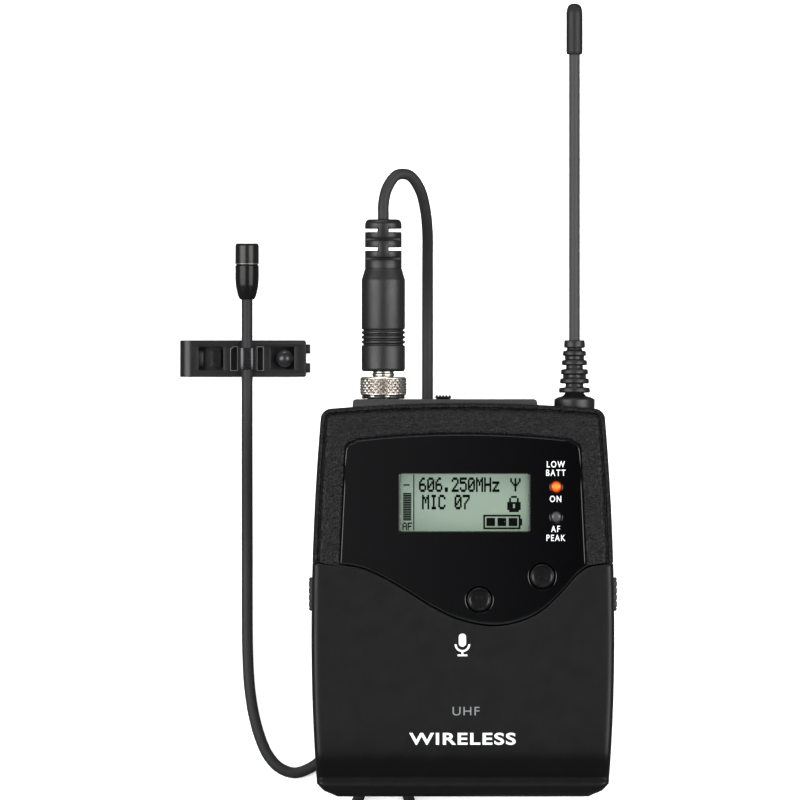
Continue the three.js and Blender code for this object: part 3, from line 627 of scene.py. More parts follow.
def coil_points():
    """Clockwise turns seen from above: the layers are wound inwards and outwards in turn."""
    painted_shade_stops = []
    for layer, z in enumerate(COIL_LAYERS):
        radii = COIL_RADII if layer % 2 == 0 else COIL_RADII[::-1]
        painted_shade_stops += [(r, z) for r in radii]
    start, turns = math.radians(45), len(painted_shade_stops) - 0.29
    made, per_turn = [], 60
    for k in range(1, round(turns * per_turn) + 1):
        turn = k / per_turn
        here = min(int(turn), len(painted_shade_stops) - 1)
        after = min(here + 1, len(painted_shade_stops) - 1)
        # The cable holds its radius for most of a turn and then steps over to the next one.
        t = min(max((turn - here - 0.72) / 0.28, 0), 1)
        t = t * t * (3 - 2 * t)
        r = painted_shade_stops[here][0] * (1 - t) + painted_shade_stops[after][0] * t
        z = painted_shade_stops[here][1] * (1 - t) + painted_shade_stops[after][1] * t
        angle = start - TURN * turn
        made.append((COIL_AT[0] + r * math.cos(angle), COIL_AT[1] + r * math.sin(angle), z))
    return made


def smooth_path(points, step=0.6):
    """Centripetal Catmull-Rom through the points, sampled closely."""
    p = [Vector(q) for q in points]
    p = [p[0] * 2 - p[1], *p, p[-1] * 2 - p[-2]]
    made = []
    for a, b, c, d in zip(p, p[1:], p[2:], p[3:]):
        t1 = (b - a).length ** 0.5
        t2 = t1 + (c - b).length ** 0.5
        t3 = t2 + (d - c).length ** 0.5
        count = max(2, round((c - b).length / step))
        for k in range(count):
            t = t1 + (t2 - t1) * k / count
            q1 = a * ((t1 - t) / t1) + b * (t / t1)
            q2 = b * ((t2 - t) / (t2 - t1)) + c * ((t - t1) / (t2 - t1))
            q3 = c * ((t3 - t) / (t3 - t2)) + d * ((t - t2) / (t3 - t2))
            r1 = q1 * ((t2 - t) / t2) + q2 * (t / t2)
            r2 = q2 * ((t3 - t) / (t3 - t1)) + q3 * ((t - t1) / (t3 - t1))
            made.append(r1 * ((t2 - t) / (t2 - t1)) + r2 * ((t - t1) / (t2 - t1)))
    return [*made, p[-2]]


def make_cable():
    points = smooth_path([*PLUG_RUN, *coil_points()[2::3], *MIC_RUN])
    curve = tube("cable", [(at + SET) * MM for at in points], CABLE_R * MM, 6)
    cable = bpy.data.objects.new("cable", curve)
    bpy.context.scene.collection.objects.link(cable)
    curve.materials.append(LOOKS["cable"].material)
    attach(cable, "pack")
    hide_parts("cable_plug_run", "cable_mic_run", "cable_coil")
    length = sum((b - a).length for a, b in zip(points, points[1:]))
    print("cable length, mm:", round(length, 1))
    return cable


def make_tie():
    """A hook-and-loop strap round one side of the coil."""
    inner, outer, top, gap, thick = 8.2, 18.2, 9.6, 0.15, 0.6
    x0, x1 = COIL_AT[0] + inner - gap, COIL_AT[0] + outer + gap
    outside = rectangle(x0 - thick, x1 + thick, 0.05, top + gap + thick, 1.2, 6)
    inside = rectangle(x0, x1, 0.1, top + gap, 0.9, 6)
    strap = plate([outside, inside], -2, 2, 0.12)
    mapped(strap, lambda p: Vector((p.x, COIL_AT[1] + p.z, p.y)))
    height = top + gap + thick
    tab = plate([rectangle(x0 + 2.6, x1 - 1.2, -2, 2, 0.8)], height - 0.02, height + 0.5, 0.15)
    return place("cable_tie_strap", joined(strap, moved(tab, y=COIL_AT[1])), "strap", "pack",
                 "cable_tie", SET)


# ---- the pack's outlines --------------------------------------------------------------------------
def half_width(y):
    """The pack's slightly barrelled half width, with its stepped lower corners."""
    off = y + 49.5
    side = 31.3 - (9.2e-4 if off > 0 else 1.29e-3) * off * off
    if y < -80.7:
        return 28.9 + (y + 80.7) * (28.9 - 25.9) / 1.3
    if y < -79.3:
        return side + (y + 79.3) * (side - 28.9) / 1.4
    return side


def edge_curve():
    """The battery cover's curved upper edge as a dense list of points, left to right."""
    points = [(-32, -33.6, 0), (-25, -34, 0), (-20.9, -34.7, 0), (-17, -36.3, 0), (-11.4, -39.5, 0),
              (-5.9, -42.9, 0), (-0.4, -45.4, 0), (6.2, -46.6, 0), (11.8, -45.7, 0), (16.2, -43.5, 0),
              (20.6, -39.4, 0), (23.2, -36.4, 0), (24.6, -35.2, 0), (26, -34.4, 0), (28, -34, 0),
              (32, -33.7, 0)]
    return smooth_path(points, 0.4)


EDGE = edge_curve()


def edge_y(x):
    return float(np.interp(x, [p.x for p in EDGE], [p.y for p in EDGE]))


def top_y(x):
    return -0.67 - 1.55e-3 * x * x


CORNER_R = 2.3
CORNER_Y = -4.1


def around(inset):
    """The pack's right side, top and left side as one line, moved in by inset."""
    x0 = half_width(CORNER_Y) - CORNER_R
    low_end = edge_y(31.0 - inset) + 0.15
    right = [(half_width(y) - inset, y) for y in np.linspace(low_end, -6.5, 26)]
    radius = max(CORNER_R - inset, 0.15)
    shift = CORNER_R - inset - radius
    corner = arc(x0 + shift, CORNER_Y + shift, radius, 0, TURN / 4, 10)
    top = [(x, top_y(x) - inset) for x in np.linspace(25.0, 0, 22)]
    return mirrored([*right, *corner, *top])


# ---- front of the pack ----------------------------------------------------------------------------
PANEL_TOP = 23.98
LED_X = 19.27
LED_Y = [-17.96, -24.21]
DOWN = (3.39, -41.27)           # the middles of the two front keys
UP = (16.4, -36.43)
KEY_R = 2.5


def panel_top_y(x):
    return -7.05 - 2.6e-3 * x * x


def panel_line(inset):
    """The panel's right side, arched top and left side, anticlockwise, matching around()."""
    x_top, x_low = 24.3, 25.5
    low_right = edge_y(x_low) + 0.45
    corner_y = panel_top_y(x_top) - 0.2

    def side_x(y):
        return x_top + (x_low - x_top) * (corner_y - y) / (corner_y + 33.5) - inset

    radius = max(1.8 - inset * 0.5, 0.6)
    right = [(side_x(y), y) for y in np.linspace(low_right, corner_y - radius, 26)]
    cx = side_x(corner_y - radius) - radius
    corner = arc(cx, corner_y - radius - inset, radius, 0, TURN / 4, 10)
    top = [(x, panel_top_y(x) - inset) for x in np.linspace(cx - 0.4, 0, 22)]
    return mirrored([*right, *corner, *top])


def window_loop(margin, radius=0.3):
    """The display window's outline, moved out by a margin."""
    x0, x1, y0, y1 = WINDOW
    return rectangle(x0 - margin, x1 + margin, y0 - margin, y1 + margin, radius)


def make_front_housing():
    """The grained frame round the panel, from the seam over the rim to the recess, and its lower edge."""
    rim = [(0.12, 12.15), (0, 12.3), (0, 18), (0, 22.5), (0.1, 22.95), (0.38, 23.32), (0.62, 23.45),
           (0.82, 23.42), (0.92, 23.22), (1.04, 23.12), (1.2, 23.2), (1.36, 23.52), (1.62, 23.82),
           (1.95, 23.97), (2.2, 24.0)]
    lines = [(around(inset), z) for inset, z in rim]
    outer, inner = around(2.2), panel_line(-0.5)
    for t in (0.15, 0.3, 0.45, 0.6, 0.75, 0.9, 1.0):
        between = [(a * (1 - t) + c * t, b * (1 - t) + d * t) for (a, b), (c, d) in zip(outer, inner)]
        lines.append((between, DEPTH))
    for inset, z in [(-0.28, 23.94), (-0.1, 23.78), (0, 23.55), (0, 23.0), (1.2, 23.0)]:
        lines.append((panel_line(inset), z))
    # Back inside the wall, so that the piece is closed.
    lines += [(panel_line(1.2), 22.4), (around(1.6), 22.4), (around(1.6), 12.15)]
    rows = [[(x, y, z) for x, y in line] for line, z in lines]
    frame_mesh = grid(rows, close_rows=True)
    last = len(rows[0]) - 1
    with editing(frame_mesh) as work:
        for j in (0, last):
            work.faces.new([work.verts[i * len(rows[0]) + j] for i in range(len(rows))])
        bmesh.ops.triangulate(work, faces=[f for f in work.faces if len(f.verts) > 4])
        bmesh.ops.recalc_face_normals(work, faces=work.faces)
    # The floor under the panel, open behind the display and round the lights and keys.
    openings = [window_loop(0.3, 0)]
    openings += [circle(LED_X, y, 1.3) for y in LED_Y]
    openings += [circle(*key, KEY_R + 0.4) for key in (UP, DOWN)]
    floor_line = panel_line(-0.05) + [(p.x, p.y + 0.4) for p in EDGE if abs(p.x) < 25.4]
    recess = plate([floor_line, *openings], 22.6, 23.02, 0.02)
    cut_top = box_mesh(-22.7, 15.3, -3.5, 1, 4, 19.5)
    cut_boot = rod(1.7, -6, 1, ANTENNA_X, SOCKET_Z, 32)
    mesh = carved(frame_mesh, cut_top, cut_boot)
    place("front_frame", mesh, "pad", "pack", "front_housing")
    place("front_sill", joined(make_sill(), recess), "shell", "pack")


def make_sill():
    """The front housing's lower edge, along the cover's curve."""
    section = [(0.15, 12.15), (0.15, 23.85), (0.24, 23.97), (0.34, 23.97), (0.43, 23.85), (0.43, 23.0),
               (1.4, 22.9), (1.4, 12.15)]
    rows = [[(p.x, p.y + rise, z) for rise, z in section] for p in EDGE if abs(p.x) < 29.4]
    return capped(grid(rows, close_columns=True), len(section))


def make_panel():
    """The glossy panel, with holes for the window, the lights and the keys."""
    outline = panel_line(0.22) + [(p.x, p.y + 0.7) for p in EDGE if abs(p.x) < 25.0]
    holes = [circle(LED_X, y, 1.2) for y in LED_Y] + [circle(*key, KEY_R + 0.28) for key in (UP, DOWN)]
    mesh = plate([outline, window_loop(0.05, 0.35), *holes], 23.1, PANEL_TOP, 0.2, 3)
    place("panel_plate", mesh, "panel", "pack", "display_panel")


GLYPHS = {
    "0": "01110 10001 10011 10101 11001 10001 01110", "2": "01110 10001 00001 00010 00100 01000 11111",
    "5": "11111 10000 11110 00001 00001 10001 01110", "6": "00110 01000 10000 11110 10001 10001 01110",
    "7": "11111 00001 00010 00100 01000 01000 01000", ".": "00000 00000 00000 00000 00000 01100 01100",
    "M": "10001 11011 10101 10101 10001 10001 10001", "H": "10001 10001 10001 11111 10001 10001 10001",
    "z": "00000 00000 11111 00010 00100 01000 11111", "I": "01110 00100 00100 00100 00100 00100 01110",
    "C": "01110 10001 10000 10000 10000 10001 01110", "A": "01110 10001 10001 11111 10001 10001 10001",
    "F": "11111 10000 10000 11110 10000 10000 10000", "-": "00000 00000 00000 01110 00000 00000 00000",
    " ": "00000 00000 00000 00000 00000 00000 00000",
}
AERIAL = "1001001 1001001 0101010 0011100 0001000 0001000 0001000"
PADLOCK = "0011100 0100010 0100010 1111111 1110111 1110111 1111111 0111110"
DOT = (0.28, 0.415)             # width and height of a display dot


def lcd_dots(rows, x, y, dot=DOT, fill=1.0):
    """Small raised squares where the rows of a picture hold a 1, from its upper left corner."""
    made = []
    for r, row in enumerate(rows):
        for c, mark in enumerate(row):
            if mark == "1":
                x0, y0 = x + c * dot[0], y - (r + 1) * dot[1]
                made.append((x0, x0 + dot[0] * fill, y0, y0 + dot[1] * fill))
    return made


def lcd_text(text, x, y, dot=DOT, pitch=6):
    made = []
    for k, letter in enumerate(text):
        made += lcd_dots(GLYPHS[letter].split(), x + k * pitch * dot[0], y, dot, 1.35)
    return made


def make_display():
    x0, x1, y0, y1 = WINDOW
    face_z = 23.3
    face = plate([window_loop(0)], 22.7, face_z, 0.03)
    place("lcd_face", face, lcd_look(x0, x1, y0, y1), "pack", "lcd_module")
    marks = lcd_text("606.250MHz", -9.07, -16.16) + lcd_text("MIC 07", -8.45, -19.75)
    marks += lcd_dots(AERIAL.split(), 9.75, -16.3, (0.3, 0.38), 1.3)
    marks += lcd_dots(PADLOCK.split(), 9.15, -19.85, (0.4, 0.42))
    marks += lcd_text("AF", -12.5, -25.42, (0.18, 0.22)) + [(-12.3, -11.0, -17.75, -17.45)]
    marks += [(-10.25, -10.03, y0 + 0.2, y1 - 0.15)]
    marks += [(-12.35, -10.65, -19.25 - 0.36 * k - 0.3, -19.25 - 0.36 * k) for k in range(16)]
    # The battery sign: four walls, a knob at its right end and three bars.
    bx0, bx1, by0, by1, wall = 4.2, 11.9, -26.75, -23.75, 0.38
    marks += [(bx0, bx1, by0, by0 + wall), (bx0, bx1, by1 - wall, by1), (bx0, bx0 + wall, by0, by1),
              (bx1 - wall, bx1, by0, by1), (bx1, bx1 + 0.35, by0 + 0.8, by1 - 0.8)]
    marks += [(bx0 + 0.65 + 2.3 * k, bx0 + 2.45 + 2.3 * k, by0 + 0.65, by1 - 0.65) for k in range(3)]
    dots = joined(*[box_mesh(a, b, c, d, face_z - 0.02, face_z + 0.012) for a, b, c, d in marks])
    place("lcd_segments", dots, "lcd_dark", "pack")
    pane = plate([window_loop(0)], 23.55, 23.7, 0.05)
    place("window_pane", pane, "window", "pack", "display_window")


def lcd_look(x0, x1, y0, y1):
    """The display's grey-green, with painted shade that darkens it towards its edges."""
    look = Look("lcd_glass", (154, 176, 157), 0.45, specular=0.2)
    middle = look.node("ShaderNodeVectorMath", operation="SUBTRACT")
    middle.inputs[1].default_value = (PACK.x + (x0 + x1) / 2, PACK.y + (y0 + y1) / 2, 0)
    look.link(look.mm.outputs[0], middle.inputs[0])
    squeeze = look.node("ShaderNodeVectorMath", operation="MULTIPLY")
    squeeze.inputs[1].default_value = (2 / (x1 - x0), 2 / (y1 - y0), 0)
    look.link(middle.outputs[0], squeeze.inputs[0])
    length = look.node("ShaderNodeVectorMath", operation="LENGTH")
    look.link(squeeze.outputs[0], length.inputs[0])
    # Painted shade: the colour darkens from the middle of the display out to its edges, round its recess.
    outward = look.ramp(length.outputs["Value"], 0.6, 1.35, 0, 1)
    look.blend(outward, linear((124, 140, 126)), linear((103, 118, 106)))
    return look


def make_leds():
    dome = rounded([(0, 18), (1.12, 18), (1.12, 23.6), (0.7, 23.9), (0, 23.95)], 0.2)
    lit = glowing("led_lit", (255, 176, 44), (214, 22, 4), (PACK.x + LED_X, PACK.y + LED_Y[0]), 1.15, 1.0)
    for node, y, look, slot in (("led_power", LED_Y[0], lit, "led_lit"),
                                ("led_peak", LED_Y[1], "led_dark", "led_dark")):
        place(f"{node}_dome", upright(lathe(dome, 0, 0, 40), LED_X, y), look, "pack", node)


def make_front_key(name, at, mark):
    """A round key with a raised ring and a raised triangle."""
    profile = [(0, 20.1), (3.1, 20.1), (3.1, 21.1), (KEY_R, 21.1), (KEY_R, 23.9), (KEY_R - 0.2, 24.14),
               (KEY_R - 0.42, 24.14), (KEY_R - 0.7, 23.96), (0, 23.92)]
    disc = upright(lathe(rounded(profile, 0.06), 0, 0, 72), *at)
    half, rise = 0.85, 0.65 * mark
    triangle = [(at[0] - half, at[1] - rise), (at[0] + half, at[1] - rise), (at[0], at[1] + rise)]
    if mark < 0:
        triangle.reverse()
    mesh = joined(disc, plate([triangle], 23.9, 24.06, 0.06))
    place(f"{name}_cap", mesh, "key", name, name)


def text_mesh(text, x, y, z, height, bold=0.0, spacing=1.0, wide=1.0):
    """Flat print, centred at (x, y); height is that of a capital."""
    curve = bpy.data.curves.new("print", "FONT")
    curve.body, curve.align_x, curve.align_y = text, "CENTER", "CENTER"
    curve.size, curve.space_character, curve.offset, curve.extrude = height / 0.7, spacing, bold, 0.008
    mesh = evaluated(curve)
    return mapped(mesh, lambda p: Vector((p.x * wide + x, p.y + y, p.z + z)))


def make_print():
    """The print: the indicators' names on the panel, and a microphone sign and two words on the cover."""
    rows = [("LOW", -13.4), ("BATT", -15.15), ("ON", -20.55), ("AF", -26.75), ("PEAK", -28.6)]
    lift = 0.004
    words = [text_mesh(word, 19.15, y, PANEL_TOP + lift, 1.28, 0.022, 1.27, 0.79) for word, y in rows]
    place("panel_print", joined(*words), "white", "pack")
    x, y, z = -0.1, -50.4, DEPTH + lift
    capsule = rectangle(x - 0.75, x + 0.75, y - 0.6, y + 2.1, 0.74, 8)
    cradle = arc(x, y - 0.1, 1.6, TURN / 2, TURN, 24) + arc(x, y - 0.1, 1.2, TURN, TURN / 2, 24)
    stem = rectangle(x - 0.2, x + 0.2, y - 2.3, y - 1.6)
    foot = rectangle(x - 1.0, x + 1.0, y - 2.55, y - 2.2)
    sign = [plate([loop], z - 0.01, z + 0.012, 0.003, 0) for loop in (capsule, cradle, stem, foot)]
    place("cover_sign", joined(*sign), "white", "battery_cover")
    word = text_mesh("WIRELESS", 0.0, -70.15, z, 2.35, 0.075, 1.12, 1.38)
    place("cover_word", word, "white", "battery_cover")
    band = text_mesh("UHF", 0.6, -64.4, z, 1.8, 0.0, 1.15, 1.1)
    place("cover_band", band, "grey", "battery_cover")


# ---- battery cover --------------------------------------------------------------------------------
def cover_columns():
    """Across the cover: (side, inset, outer height, inner inset, inner height), left to right."""
    edge = [(0.12, 12.15, 1.4, 12.15), (0, 12.3, 1.4, 12.3), (0, 17, 1.4, 17), (0, 22.3, 1.4, 21.6),
            (0.08, 22.85, 1.45, 21.9), (0.28, 23.35, 1.5, 22.05), (0.5, 23.68, 1.6, 22.15),
            (0.72, 23.84, 1.8, 22.2), (0.98, 23.93, 2.0, 22.2), (1.3, 23.985, 2.3, 22.2),
            (1.8, 24.0, 2.6, 22.2)]
    made = [(-1, *row) for row in edge]
    inner = np.linspace(-1, 1, 61)[1:-1]
    made += [(0, s, 24.0, s, 22.2) for s in inner]
    return made + [(1, *row) for row in reversed(edge)]


def make_battery_cover():
    columns = cover_columns()
    # Down from the curved edge: (distance from the edge, height under the cover's face).
    front = [(0.0, -0.5), (0.0, -0.3), (0.1, -0.16), (0.22, -0.05), (0.36, 0.0), (0.8, 0.0)]
    # Further down: (y, height under the face).
    lower = [(-50, 0), (-56, 0), (-62, 0), (-67, 0), (-71, 0), (-72.6, -0.03), (-73.6, -0.12),
             (-74.6, -0.38), (-75.6, -0.8), (-76.5, -1.3), (-77.3, -1.75), (-77.9, -2.0), (-78.2, -2.05),
             (-78.35, -2.05), (-78.5, -1.98), (-78.9, -1.75), (-79.3, -1.6), (-79.8, -1.62), (-80.3, -1.8),
             (-80.8, -2.1), (-81.2, -2.5), (-81.6, -3.1), (-81.85, -3.8), (-82.0, -4.8)]
    outer_rows = [("edge", drop, dz) for drop, dz in front]
    outer_rows += [("share", share, 0.0) for share in (0.12, 0.3, 0.5, 0.72)]
    outer_rows += [("line", y, dz) for y, dz in lower]
    straight = lower[0][0]

    def across(column, y_of, inner=False):
        side, outer_at, _, inner_at, _ = column
        inset = inner_at if inner else outer_at
        if side == 0:
            reach = half_width(y_of(inset * 29)) - 1.8
            return inset * reach
        return side * (half_width(y_of(side * 30)) - inset)

    def y_for(kind, value):
        if kind == "edge":
            return lambda x: edge_y(x) - 0.15 - value
        if kind == "share":
            return lambda x: (edge_y(x) - 0.95) * (1 - value) + straight * value
        return lambda x: value

    outer, inner = [], []
    for kind, value, dz in outer_rows:
        y_of = y_for(kind, value)
        row, back = [], []
        for column in columns:
            x = across(column, y_of)
            y = y_of(x)
            z = column[2] + (dz if column[2] > 20 else 0)
            if y < -78.4:
                z = max(z, HINGE_Z)
            row.append((x, y, z))
            bx = across(column, y_of, True)
            by = max(y_of(bx), -77.2)
            bz = min(column[4], 22.2) + (max(dz + 1.2, -1.6) if column[4] > 20 and dz < -1.2 else 0)
            if y < -78.4:
                by, bz = -77.3, max(bz - 1.0, HINGE_Z)
            back.append((bx, by, bz))
        outer.append(row)
        inner.append(back)
    # The barrel along the bottom, from the front skin round to the inside.
    for angle in (200, 225, 250, 275, 300, 330, 360):
        y = HINGE_Y + 2.2 * math.cos(math.radians(540 - angle))
        z = HINGE_Z - 2.2 * abs(math.sin(math.radians(angle)))
        half = half_width(max(min(y, -78.5), BOTTOM))
        row = []
        for column in columns:
            x = column[0] * (half - min(column[1], 1.0)) if column[0] else column[1] * (half - 1.8)
            row.append((x, y, z))
        outer.append(row)
        inner.append([(p[0], -77.5, HINGE_Z + 0.3) for p in row])
    mesh = grid([*outer, *reversed(inner)], close_rows=True)
    count, rows = len(columns), len(outer)
    with editing(mesh) as work:
        for column in (0, count - 1):
            for i in range(rows - 1):
                a, b = i * count + column, (i + 1) * count + column
                c, d = (2 * rows - 2 - i) * count + column, (2 * rows - 1 - i) * count + column
                work.faces.new([work.verts[v] for v in (a, b, c, d)])
    mesh = welded(mesh)
    windows = [box_mesh(*sorted((29.0 * s, 33.0 * s)), -43.9, -36.4, 14.9, 21.6) for s in (-1, 1)]
    # Rooms for the case's two lugs, then a narrow bore, all round the hinge's axis.
    rooms = []
    for x0, x1, r in ((-24.0, -20.0, 2.35), (20.0, 24.0, 2.35), (-26.0, 26.0, 0.95)):
        room = along_x(rod(r, x0, x1, 0, 0), HINGE_Y, HINGE_Z)
        room.flip_normals()
        rooms.append(room)
    mesh = carved(mesh, *windows, *rooms)
    place("cover_shell", mesh, "cover", "battery_cover", "battery_cover", sharp=38)


def make_catches():
    """Side catches: a pad with five soft ribs."""
    for side, name in ((-1, "left_catch"), (1, "right_catch")):
        rows = []
        for y in np.linspace(-43.6, -36.7, 71):
            phase = (y + 43.6) / 6.9 * 5 % 1
            end = min(y + 43.6, -36.7 - y)
            reach = 31.85 - 0.16 * math.exp(-((phase - 0.5) / 0.12) ** 2) - max(0.35 - end, 0) * 0.6
            section = [(28.3, 15.2), (reach - 0.5, 15.2), (reach - 0.15, 15.4), (reach, 15.8),
                       (reach, 20.7), (reach - 0.15, 21.1), (reach - 0.5, 21.3), (28.3, 21.3)]
            rows.append([(x * side, y, z) for x, z in section])
        pad = capped(grid(rows, close_columns=True), len(section))
        foot = box_mesh(*sorted((28.3 * side, 29.1 * side)), -44.6, -35.7, 14, 21.8)
        place(f"{name}_pad", joined(pad, foot), "catch", name, name)


# ---- top of the pack ------------------------------------------------------------------------------
def facing_up(mesh):
    """A plate drawn in (x, height), its thickness laid along y."""
    return mapped(mesh, lambda p: Vector((p.x, p.z, p.y)))


def make_top_plate():
    flange = plate([rectangle(-22.8, 15.4, -2.5, 0.15, 0.75)], 4.6, 19.4, 0.2, 3)
    raised = plate([rectangle(-22.3, 14.9, -2.5, -0.5, 0.7)], 19.0, 20.7, 0.2, 3)
    slot_hole = box_mesh(-8.05, -0.05, -4, 1, 10.5, 13.5)
    plug_hole = rod(4.6, -4, 1, PLUG_X, SOCKET_Z, 64)
    mesh = joined(carved(flange, slot_hole, plug_hole), raised)
    place("top_plate_fine", mesh, "top", "pack", "top_plate")


def make_mute_slider():
    x = centre("mute_slider", 0) - PACK.x
    middles = [x + 0.66 * k for k in (-2, -1, 0, 1, 2)]
    ribs = [facing_up(plate([rectangle(m - 0.24, m + 0.24, 9, 15, 0.2)], 0.5, 0.95, 0.14)) for m in middles]
    knob = facing_up(plate([rectangle(x - 1.65, x + 1.65, 9, 15, 0.5)], 0.33, 0.68, 0.08))
    stem = box_mesh(x - 1.5, x + 1.5, -3.4, 0.5, 11, 13)
    place("mute_slider_knob", joined(stem, knob, *ribs), "key", "mute_slider", "mute_slider")


# ---- antenna --------------------------------------------------------------------------------------
def make_antenna():
    ribs = []
    for k in range(5):
        y, r, neck = 2 + 1.9 * k, 3.25 - 0.2 * k, 1.9 - 0.06 * k
        ribs += [(neck, y - 0.58), (r - 0.1, y - 0.55), (r, y - 0.2), (r - 0.12, y + 0.5), (neck, y + 0.58)]
    profile = [(0, 4.4), (1.6, 4.4), (1.6, -2.1), (4.15, -2.1), (4.2, -1.2), (4.2, 0.1), (3.5, 0.5),
               (2.4, 0.8), *ribs, (1.5, 10.7), (2.15, 10.75), (2.2, 11.2), (2.1, 12.2), (1.9, 12.34),
               (1.3, 12.34), (1.3, 5.6), (0, 5.6)]
    boot = lathe(rounded(profile, 0.14), ANTENNA_X, SOCKET_Z, 64)
    webs = []
    for k in range(4):
        y, r = 2 + 1.9 * k, 2.6 - 0.2 * k
        dx, dz = (r, 0.6) if k % 2 else (0.6, r)
        webs.append(box_mesh(ANTENNA_X - dx, ANTENNA_X + dx, y + 0.2, y + 1.6, SOCKET_Z - dz,
                             SOCKET_Z + dz))
    place("antenna_boot_ribbed", joined(boot, *webs), "rubber", "pack", "antenna_boot")
    whip = rod(1.135, 6, 75.4, ANTENNA_X, SOCKET_Z)
    place("antenna_whip_rod", whip, "rod", "pack", "antenna_whip")
    profile = [(0, 75.8), (1.3, 75.8), (1.3, 71.4), (1.5, 71.4), (1.7, 71.9), (1.7, 80.2), (1.4, 81.4),
               (0.8, 81.9), (0, 82)]
    tip = lathe(rounded(profile, 0.3, 4), ANTENNA_X, SOCKET_Z, 48)
    place("antenna_tip_cap", tip, "tip", "pack", "antenna_tip")
    profile = [(0, -9.5), (2.6, -9.5), (2.6, -3.6), (1.3, -3.6), (1.3, 4), (0, 4)]
    base = lathe(rounded(profile, 0.15), ANTENNA_X, SOCKET_Z, 40)
    place("antenna_base_stud", base, "brass", "pack", "antenna_base")


# ---- plug -----------------------------------------------------------------------------------------
def knurl(angle, y, r):
    """Crossed ridges, on the nut's outside only."""
    if r < 4.6 or not 1.25 < y < 4.3:
        return 0
    first = abs((angle / TURN * 26 + y * 0.92) % 1 - 0.5)
    second = abs((angle / TURN * 26 - y * 0.92) % 1 - 0.5)
    return 0.42 * (min(first, second) * 2 - 0.55)


def make_nut():
    outside = [(4.72, float(y)) for y in np.linspace(1.1, 4.45, 44)]
    profile = [(2.35, -2.6), (3.2, -2.6), (3.2, 0.0), (3.25, 0.35), (3.9, 0.4), (4.15, 0.6), (4.15, 0.8),
               (4.45, 0.9), *outside, (4.5, 4.72), (2.35, 4.72), (2.35, 3.3), (3.3, 3.3), (3.3, 1.7),
               (2.35, 1.7), (2.35, -2.6)]
    nut = lathe(profile, PLUG_X, SOCKET_Z, 408, knurl)
    place("lock_nut_knurled", nut, "nickel", "lock_nut", "lock_nut", sharp=24)
    # Dark blocks with bright gaps between them under the nut: a painted reflection, the dark and bright
    # stripes of the polished collar built as blocks.
    blocks = []
    for k in range(8):
        angle = TURN * (k + 0.25) / 8
        block = box_mesh(3.3, 4.3, 0.2, 0.88, -1.15, 1.15)
        block.transform(Matrix.Translation((PLUG_X, 0, SOCKET_Z)) @ Matrix.Rotation(-angle, 4, "Y"))
        blocks.append(block)
    place("lock_nut_reflection_blocks", bevelled(joined(*blocks), 0.08), "black_metal", "lock_nut")


def make_plug():
    ring = [(2.32, 2.1), (3.05, 2.1), (3.05, 2.9), (2.32, 2.9), (2.32, 2.1)]
    mesh = lathe(rounded(ring, 0.06), PLUG_X, SOCKET_Z, 48)
    place("nut_snap_ring_wire", mesh, "steel", "nut_ring", "nut_snap_ring")
    neck = [(2.12, -3.1), (2.12, 4.85), (2.3, 5.0), (2.3, 5.35), (2.12, 5.5), (2.12, 7.5), (3.2, 7.5),
            (3.2, 9.5), (0.9, 9.5), (0.9, -11.7), (1.75, -11.7), (1.75, -3.4), (2.12, -3.1)]
    place("plug_barrel_turned", lathe(rounded(neck, 0.06), PLUG_X, SOCKET_Z, 64), "nickel", "pack",
          "plug_barrel")
    tip = [(0, -17.6), (0.7, -17.4), (1.6, -16.2), (1.2, -15.4), (1.75, -14.6), (1.75, -13.3),
           (0.6, -13.3), (0.6, 9), (0, 9)]
    place("plug_tip_turned", lathe(rounded(tip, 0.15), PLUG_X, SOCKET_Z, 48), "nickel", "pack",
          "plug_tip")
    insulator = lathe([(0.9, -13), (1.75, -13), (1.75, -12), (0.9, -12), (0.9, -13)], PLUG_X, SOCKET_Z, 48)
    place("plug_insulator_ring", insulator, "key", "pack", "plug_insulator")
    grooves = []
    for k in range(4):
        y = 11.45 + 0.98 * k
        grooves += [(4.5, y - 0.26), (4.12, y - 0.14), (4.12, y + 0.14), (4.5, y + 0.26)]
    sleeve = [(2.45, 5.85), (4.1, 5.85), (4.4, 6.05), (4.5, 6.45), *grooves, (4.5, 24.8), (3.87, 26.9),
              (3.85, 27.1), (1.9, 27.1), (1.9, 23), (3.5, 23), (3.5, 7.2), (2.45, 7.2), (2.45, 5.85)]
    place("plug_sleeve_moulded", lathe(rounded(sleeve, 0.12), PLUG_X, SOCKET_Z, 96), "sleeve", "pack",
          "plug_sleeve", sharp=50)
    boot = [(0, 23.5), (1.6, 23.5), (1.6, 27.05), (3.78, 27.05), (3.8, 27.4), (3.8, 36.5), (3.5, 37.1),
            (3.0, 37.35), (0, 37.35)]
    body = lathe(rounded(boot, 0.25, 4), PLUG_X, SOCKET_Z, 72)
    slots = []
    for side in (-1, 1):
        near, far = sorted((1.05 * side, 5 * side))
        for y in (30.85, 34.7):
            slots.append(box_mesh(PLUG_X + near, PLUG_X + far, y, y + 0.65, SOCKET_Z - 5, SOCKET_Z + 5))
        for y in (28.9, 32.9):
            slots.append(box_mesh(PLUG_X - 5, PLUG_X + 5, y, y + 0.6, SOCKET_Z + near, SOCKET_Z + far))
    mesh = bevelled(carved(body, *slots), 0.09, angle=40)
    place("plug_boot_slotted", mesh, "rubber", "pack", "plug_boot", sharp=45)


